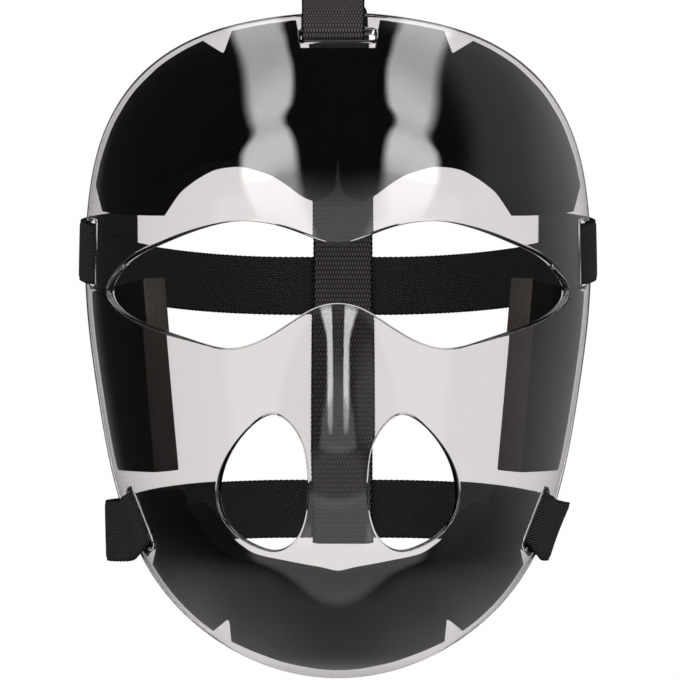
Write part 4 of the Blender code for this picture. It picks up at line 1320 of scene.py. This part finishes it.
def make_world(settings):
    """White all round to the eye and through the clear shell, and a dark studio in the gloss."""
    world = bpy.data.worlds.new("studio")
    bpy.context.scene.world = world
    world.use_nodes = True
    tree = world.node_tree
    tree.nodes.clear()
    path = add_node(tree, "ShaderNodeLightPath")
    straight = reckon(tree, "LESS_THAN", path.outputs["Glossy Depth"], 0.5)
    seen = reckon(tree, "MAXIMUM", path.outputs["Is Camera Ray"],
                  reckon(tree, "MULTIPLY", path.outputs["Is Transmission Ray"], straight))
    way = add_node(tree, "ShaderNodeTexCoord").outputs["Generated"]
    parts = add_node(tree, "ShaderNodeSeparateXYZ", {"Vector": way}).outputs
    across, behind = RIGHT_WALL_WAY
    to_right = reckon(tree, "MULTIPLY_ADD", parts["Y"], behind,
                      reckon(tree, "MULTIPLY", parts["X"], across))
    wall = glow(tree, parts["Z"], *RIGHT_WALL_FOOT, settings.card)
    lights = [bright_bands(tree, parts, settings.strip)]
    for begins, full, share in (RIGHT_WALL, RIGHT_WALL_MIDDLE):
        lights.append(glow(tree, to_right, begins, full, reckon(tree, "MULTIPLY", wall, share)))
    lights.append(glow(tree, reckon(tree, "MULTIPLY", parts["Z"], -1.0), *TABLE_LIGHT,
                       settings.table))
    dim = settings.studio
    for light in lights:
        dim = reckon(tree, "ADD", light, dim)
    soft = reckon(tree, "MULTIPLY", path.outputs["Is Diffuse Ray"], settings.fill)
    value = reckon(tree, "MAXIMUM", seen, reckon(tree, "MAXIMUM", dim, soft))
    background = add_node(tree, "ShaderNodeBackground", {"Strength": value})
    background.inputs["Color"].default_value = (1.0, 1.0, 1.0, 1.0)
    output = add_node(tree, "ShaderNodeOutputWorld")
    tree.links.new(background.outputs[0], output.inputs["Surface"])


def make_front_card(settings):
    """A pale card in front of the mask, which its nose, brow and chin mirror. It fades out to its
    edges."""
    height = FRONT_CARD_TOP - FRONT_CARD_FOOT
    light = bpy.data.lights.new("front_card", "AREA")
    light.shape = "RECTANGLE"
    light.size = FRONT_CARD_WIDTH
    light.size_y = height
    light.energy = settings.front * math.pi * FRONT_CARD_WIDTH * height
    light.use_nodes = True
    tree = light.node_tree
    place = add_node(tree, "ShaderNodeNewGeometry").outputs["Parametric"]
    parts = add_node(tree, "ShaderNodeSeparateXYZ", {"Vector": place}).outputs
    share = 1.0
    for axis in ("X", "Y"):
        aside = reckon(tree, "ABSOLUTE", reckon(tree, "SUBTRACT", parts[axis], 0.5))
        share = glow(tree, aside, 0.5, 0.5 - CARD_FADE, share)
    tree.links.new(share, tree.nodes["Emission"].inputs["Strength"])
    lamp = new_object("front_card", light)
    lamp.location = (0.0, -FRONT_CARD_GAP, FRONT_CARD_FOOT + height / 2)
    lamp.rotation_euler = (math.radians(90), 0, 0)
    lamp.visible_camera = False
    lamp.visible_transmission = False


def make_floor(settings):
    """A round pale floor under the mask."""
    count = FLOOR_SIDES
    turns = np.linspace(0, 2 * math.pi, count + 1)[:-1]
    vertices = [(r * math.cos(t), r * math.sin(t), -settings.floor_drop)
                for r in (settings.floor_radius * share for share in FLOOR_RINGS)
                for t in turns]
    faces = [tuple(range(count))] + ring_faces(len(FLOOR_RINGS), count)
    floor = mesh_object("floor", vertices, faces)
    if floor.data.polygons[0].normal.z < 0:
        floor.data.flip_normals()
    material, tree, shader = new_material("pale_floor")
    place = add_node(tree, "ShaderNodeTexCoord").outputs["Object"]
    noise = add_node(tree, "ShaderNodeTexNoise", {"Vector": place, "Scale": 2.0, "Detail": 2.0})
    feed(shader, {"Base Color": mix_colours(tree, noise.outputs["Fac"], *FLOOR_COLOURS),
                  "Roughness": FLOOR_ROUGH})
    floor.data.materials.append(material)
    floor.visible_glossy = False
    floor.visible_transmission = False


def make_camera(settings):
    """The camera in front of the mask, level with its middle."""
    data = bpy.data.cameras.new("camera")
    data.sensor_width = 36.0
    data.lens = data.sensor_width * settings.distance / settings.view_width
    data.clip_start = 0.05
    data.clip_end = 30.0
    camera = new_object("camera", data)
    camera.location = (CAMERA_ACROSS, TEMPLE_DEPTH - settings.distance, settings.view_height)
    camera.rotation_euler = (math.radians(90), 0, 0)
    bpy.context.scene.camera = camera


class MASK_OT_stage(bpy.types.Operator):
    """Set up the floor, the lights and the camera"""

    bl_idname = "mask.stage"
    bl_label = "Stage"

    def execute(self, context):
        settings = context.scene.mask_stage
        context.scene.view_settings.view_transform = "Standard"
        make_world(settings)
        make_front_card(settings)
        make_floor(settings)
        make_camera(settings)
        return {"FINISHED"}


class MASK_PT_panel(bpy.types.Panel):
    """The mask's pieces in the sidebar"""

    bl_idname = "MASK_PT_panel"
    bl_label = "Face Mask"
    bl_space_type = "VIEW_3D"
    bl_region_type = "UI"
    bl_category = "Mask"

    def draw(self, context):
        for owner, operators in (("mask_shell", ("mask.shell",)), ("mask_foam", ("mask.pads",)),
                                 ("mask_straps", ("mask.head_straps", "mask.crown_strap")),
                                 ("mask_stage", ("mask.stage",))):
            box = self.layout.box()
            settings = getattr(context.scene, owner)
            for name in settings.bl_rna.properties.keys():
                if name not in ("rna_type", "name"):
                    box.prop(settings, name)
            for operator in operators:
                box.operator(operator)


CLASSES = (MaskShellSettings, MaskFoamSettings, MaskStrapSettings, MaskStageSettings,
           MASK_OT_shell, MASK_OT_pads, MASK_OT_head_straps, MASK_OT_crown_strap,
           MASK_OT_stage, MASK_PT_panel)
SETTINGS = {"mask_shell": MaskShellSettings, "mask_foam": MaskFoamSettings,
            "mask_straps": MaskStrapSettings, "mask_stage": MaskStageSettings}


def register():
    """Add the classes and the settings."""
    for entry in CLASSES:
        bpy.utils.register_class(entry)
    for name, kind in SETTINGS.items():
        setattr(bpy.types.Scene, name, PointerProperty(type=kind))


def unregister():
    """Take the settings and the classes away again."""
    for name in SETTINGS:
        delattr(bpy.types.Scene, name)
    for entry in reversed(CLASSES):
        bpy.utils.unregister_class(entry)


def main():
    """Build every piece and the stage."""
    register()
    bpy.ops.mask.shell()
    bpy.ops.mask.pads()
    bpy.ops.mask.head_straps()
    bpy.ops.mask.crown_strap()
    bpy.ops.mask.stage()


if __name__ == "__main__":
    main()
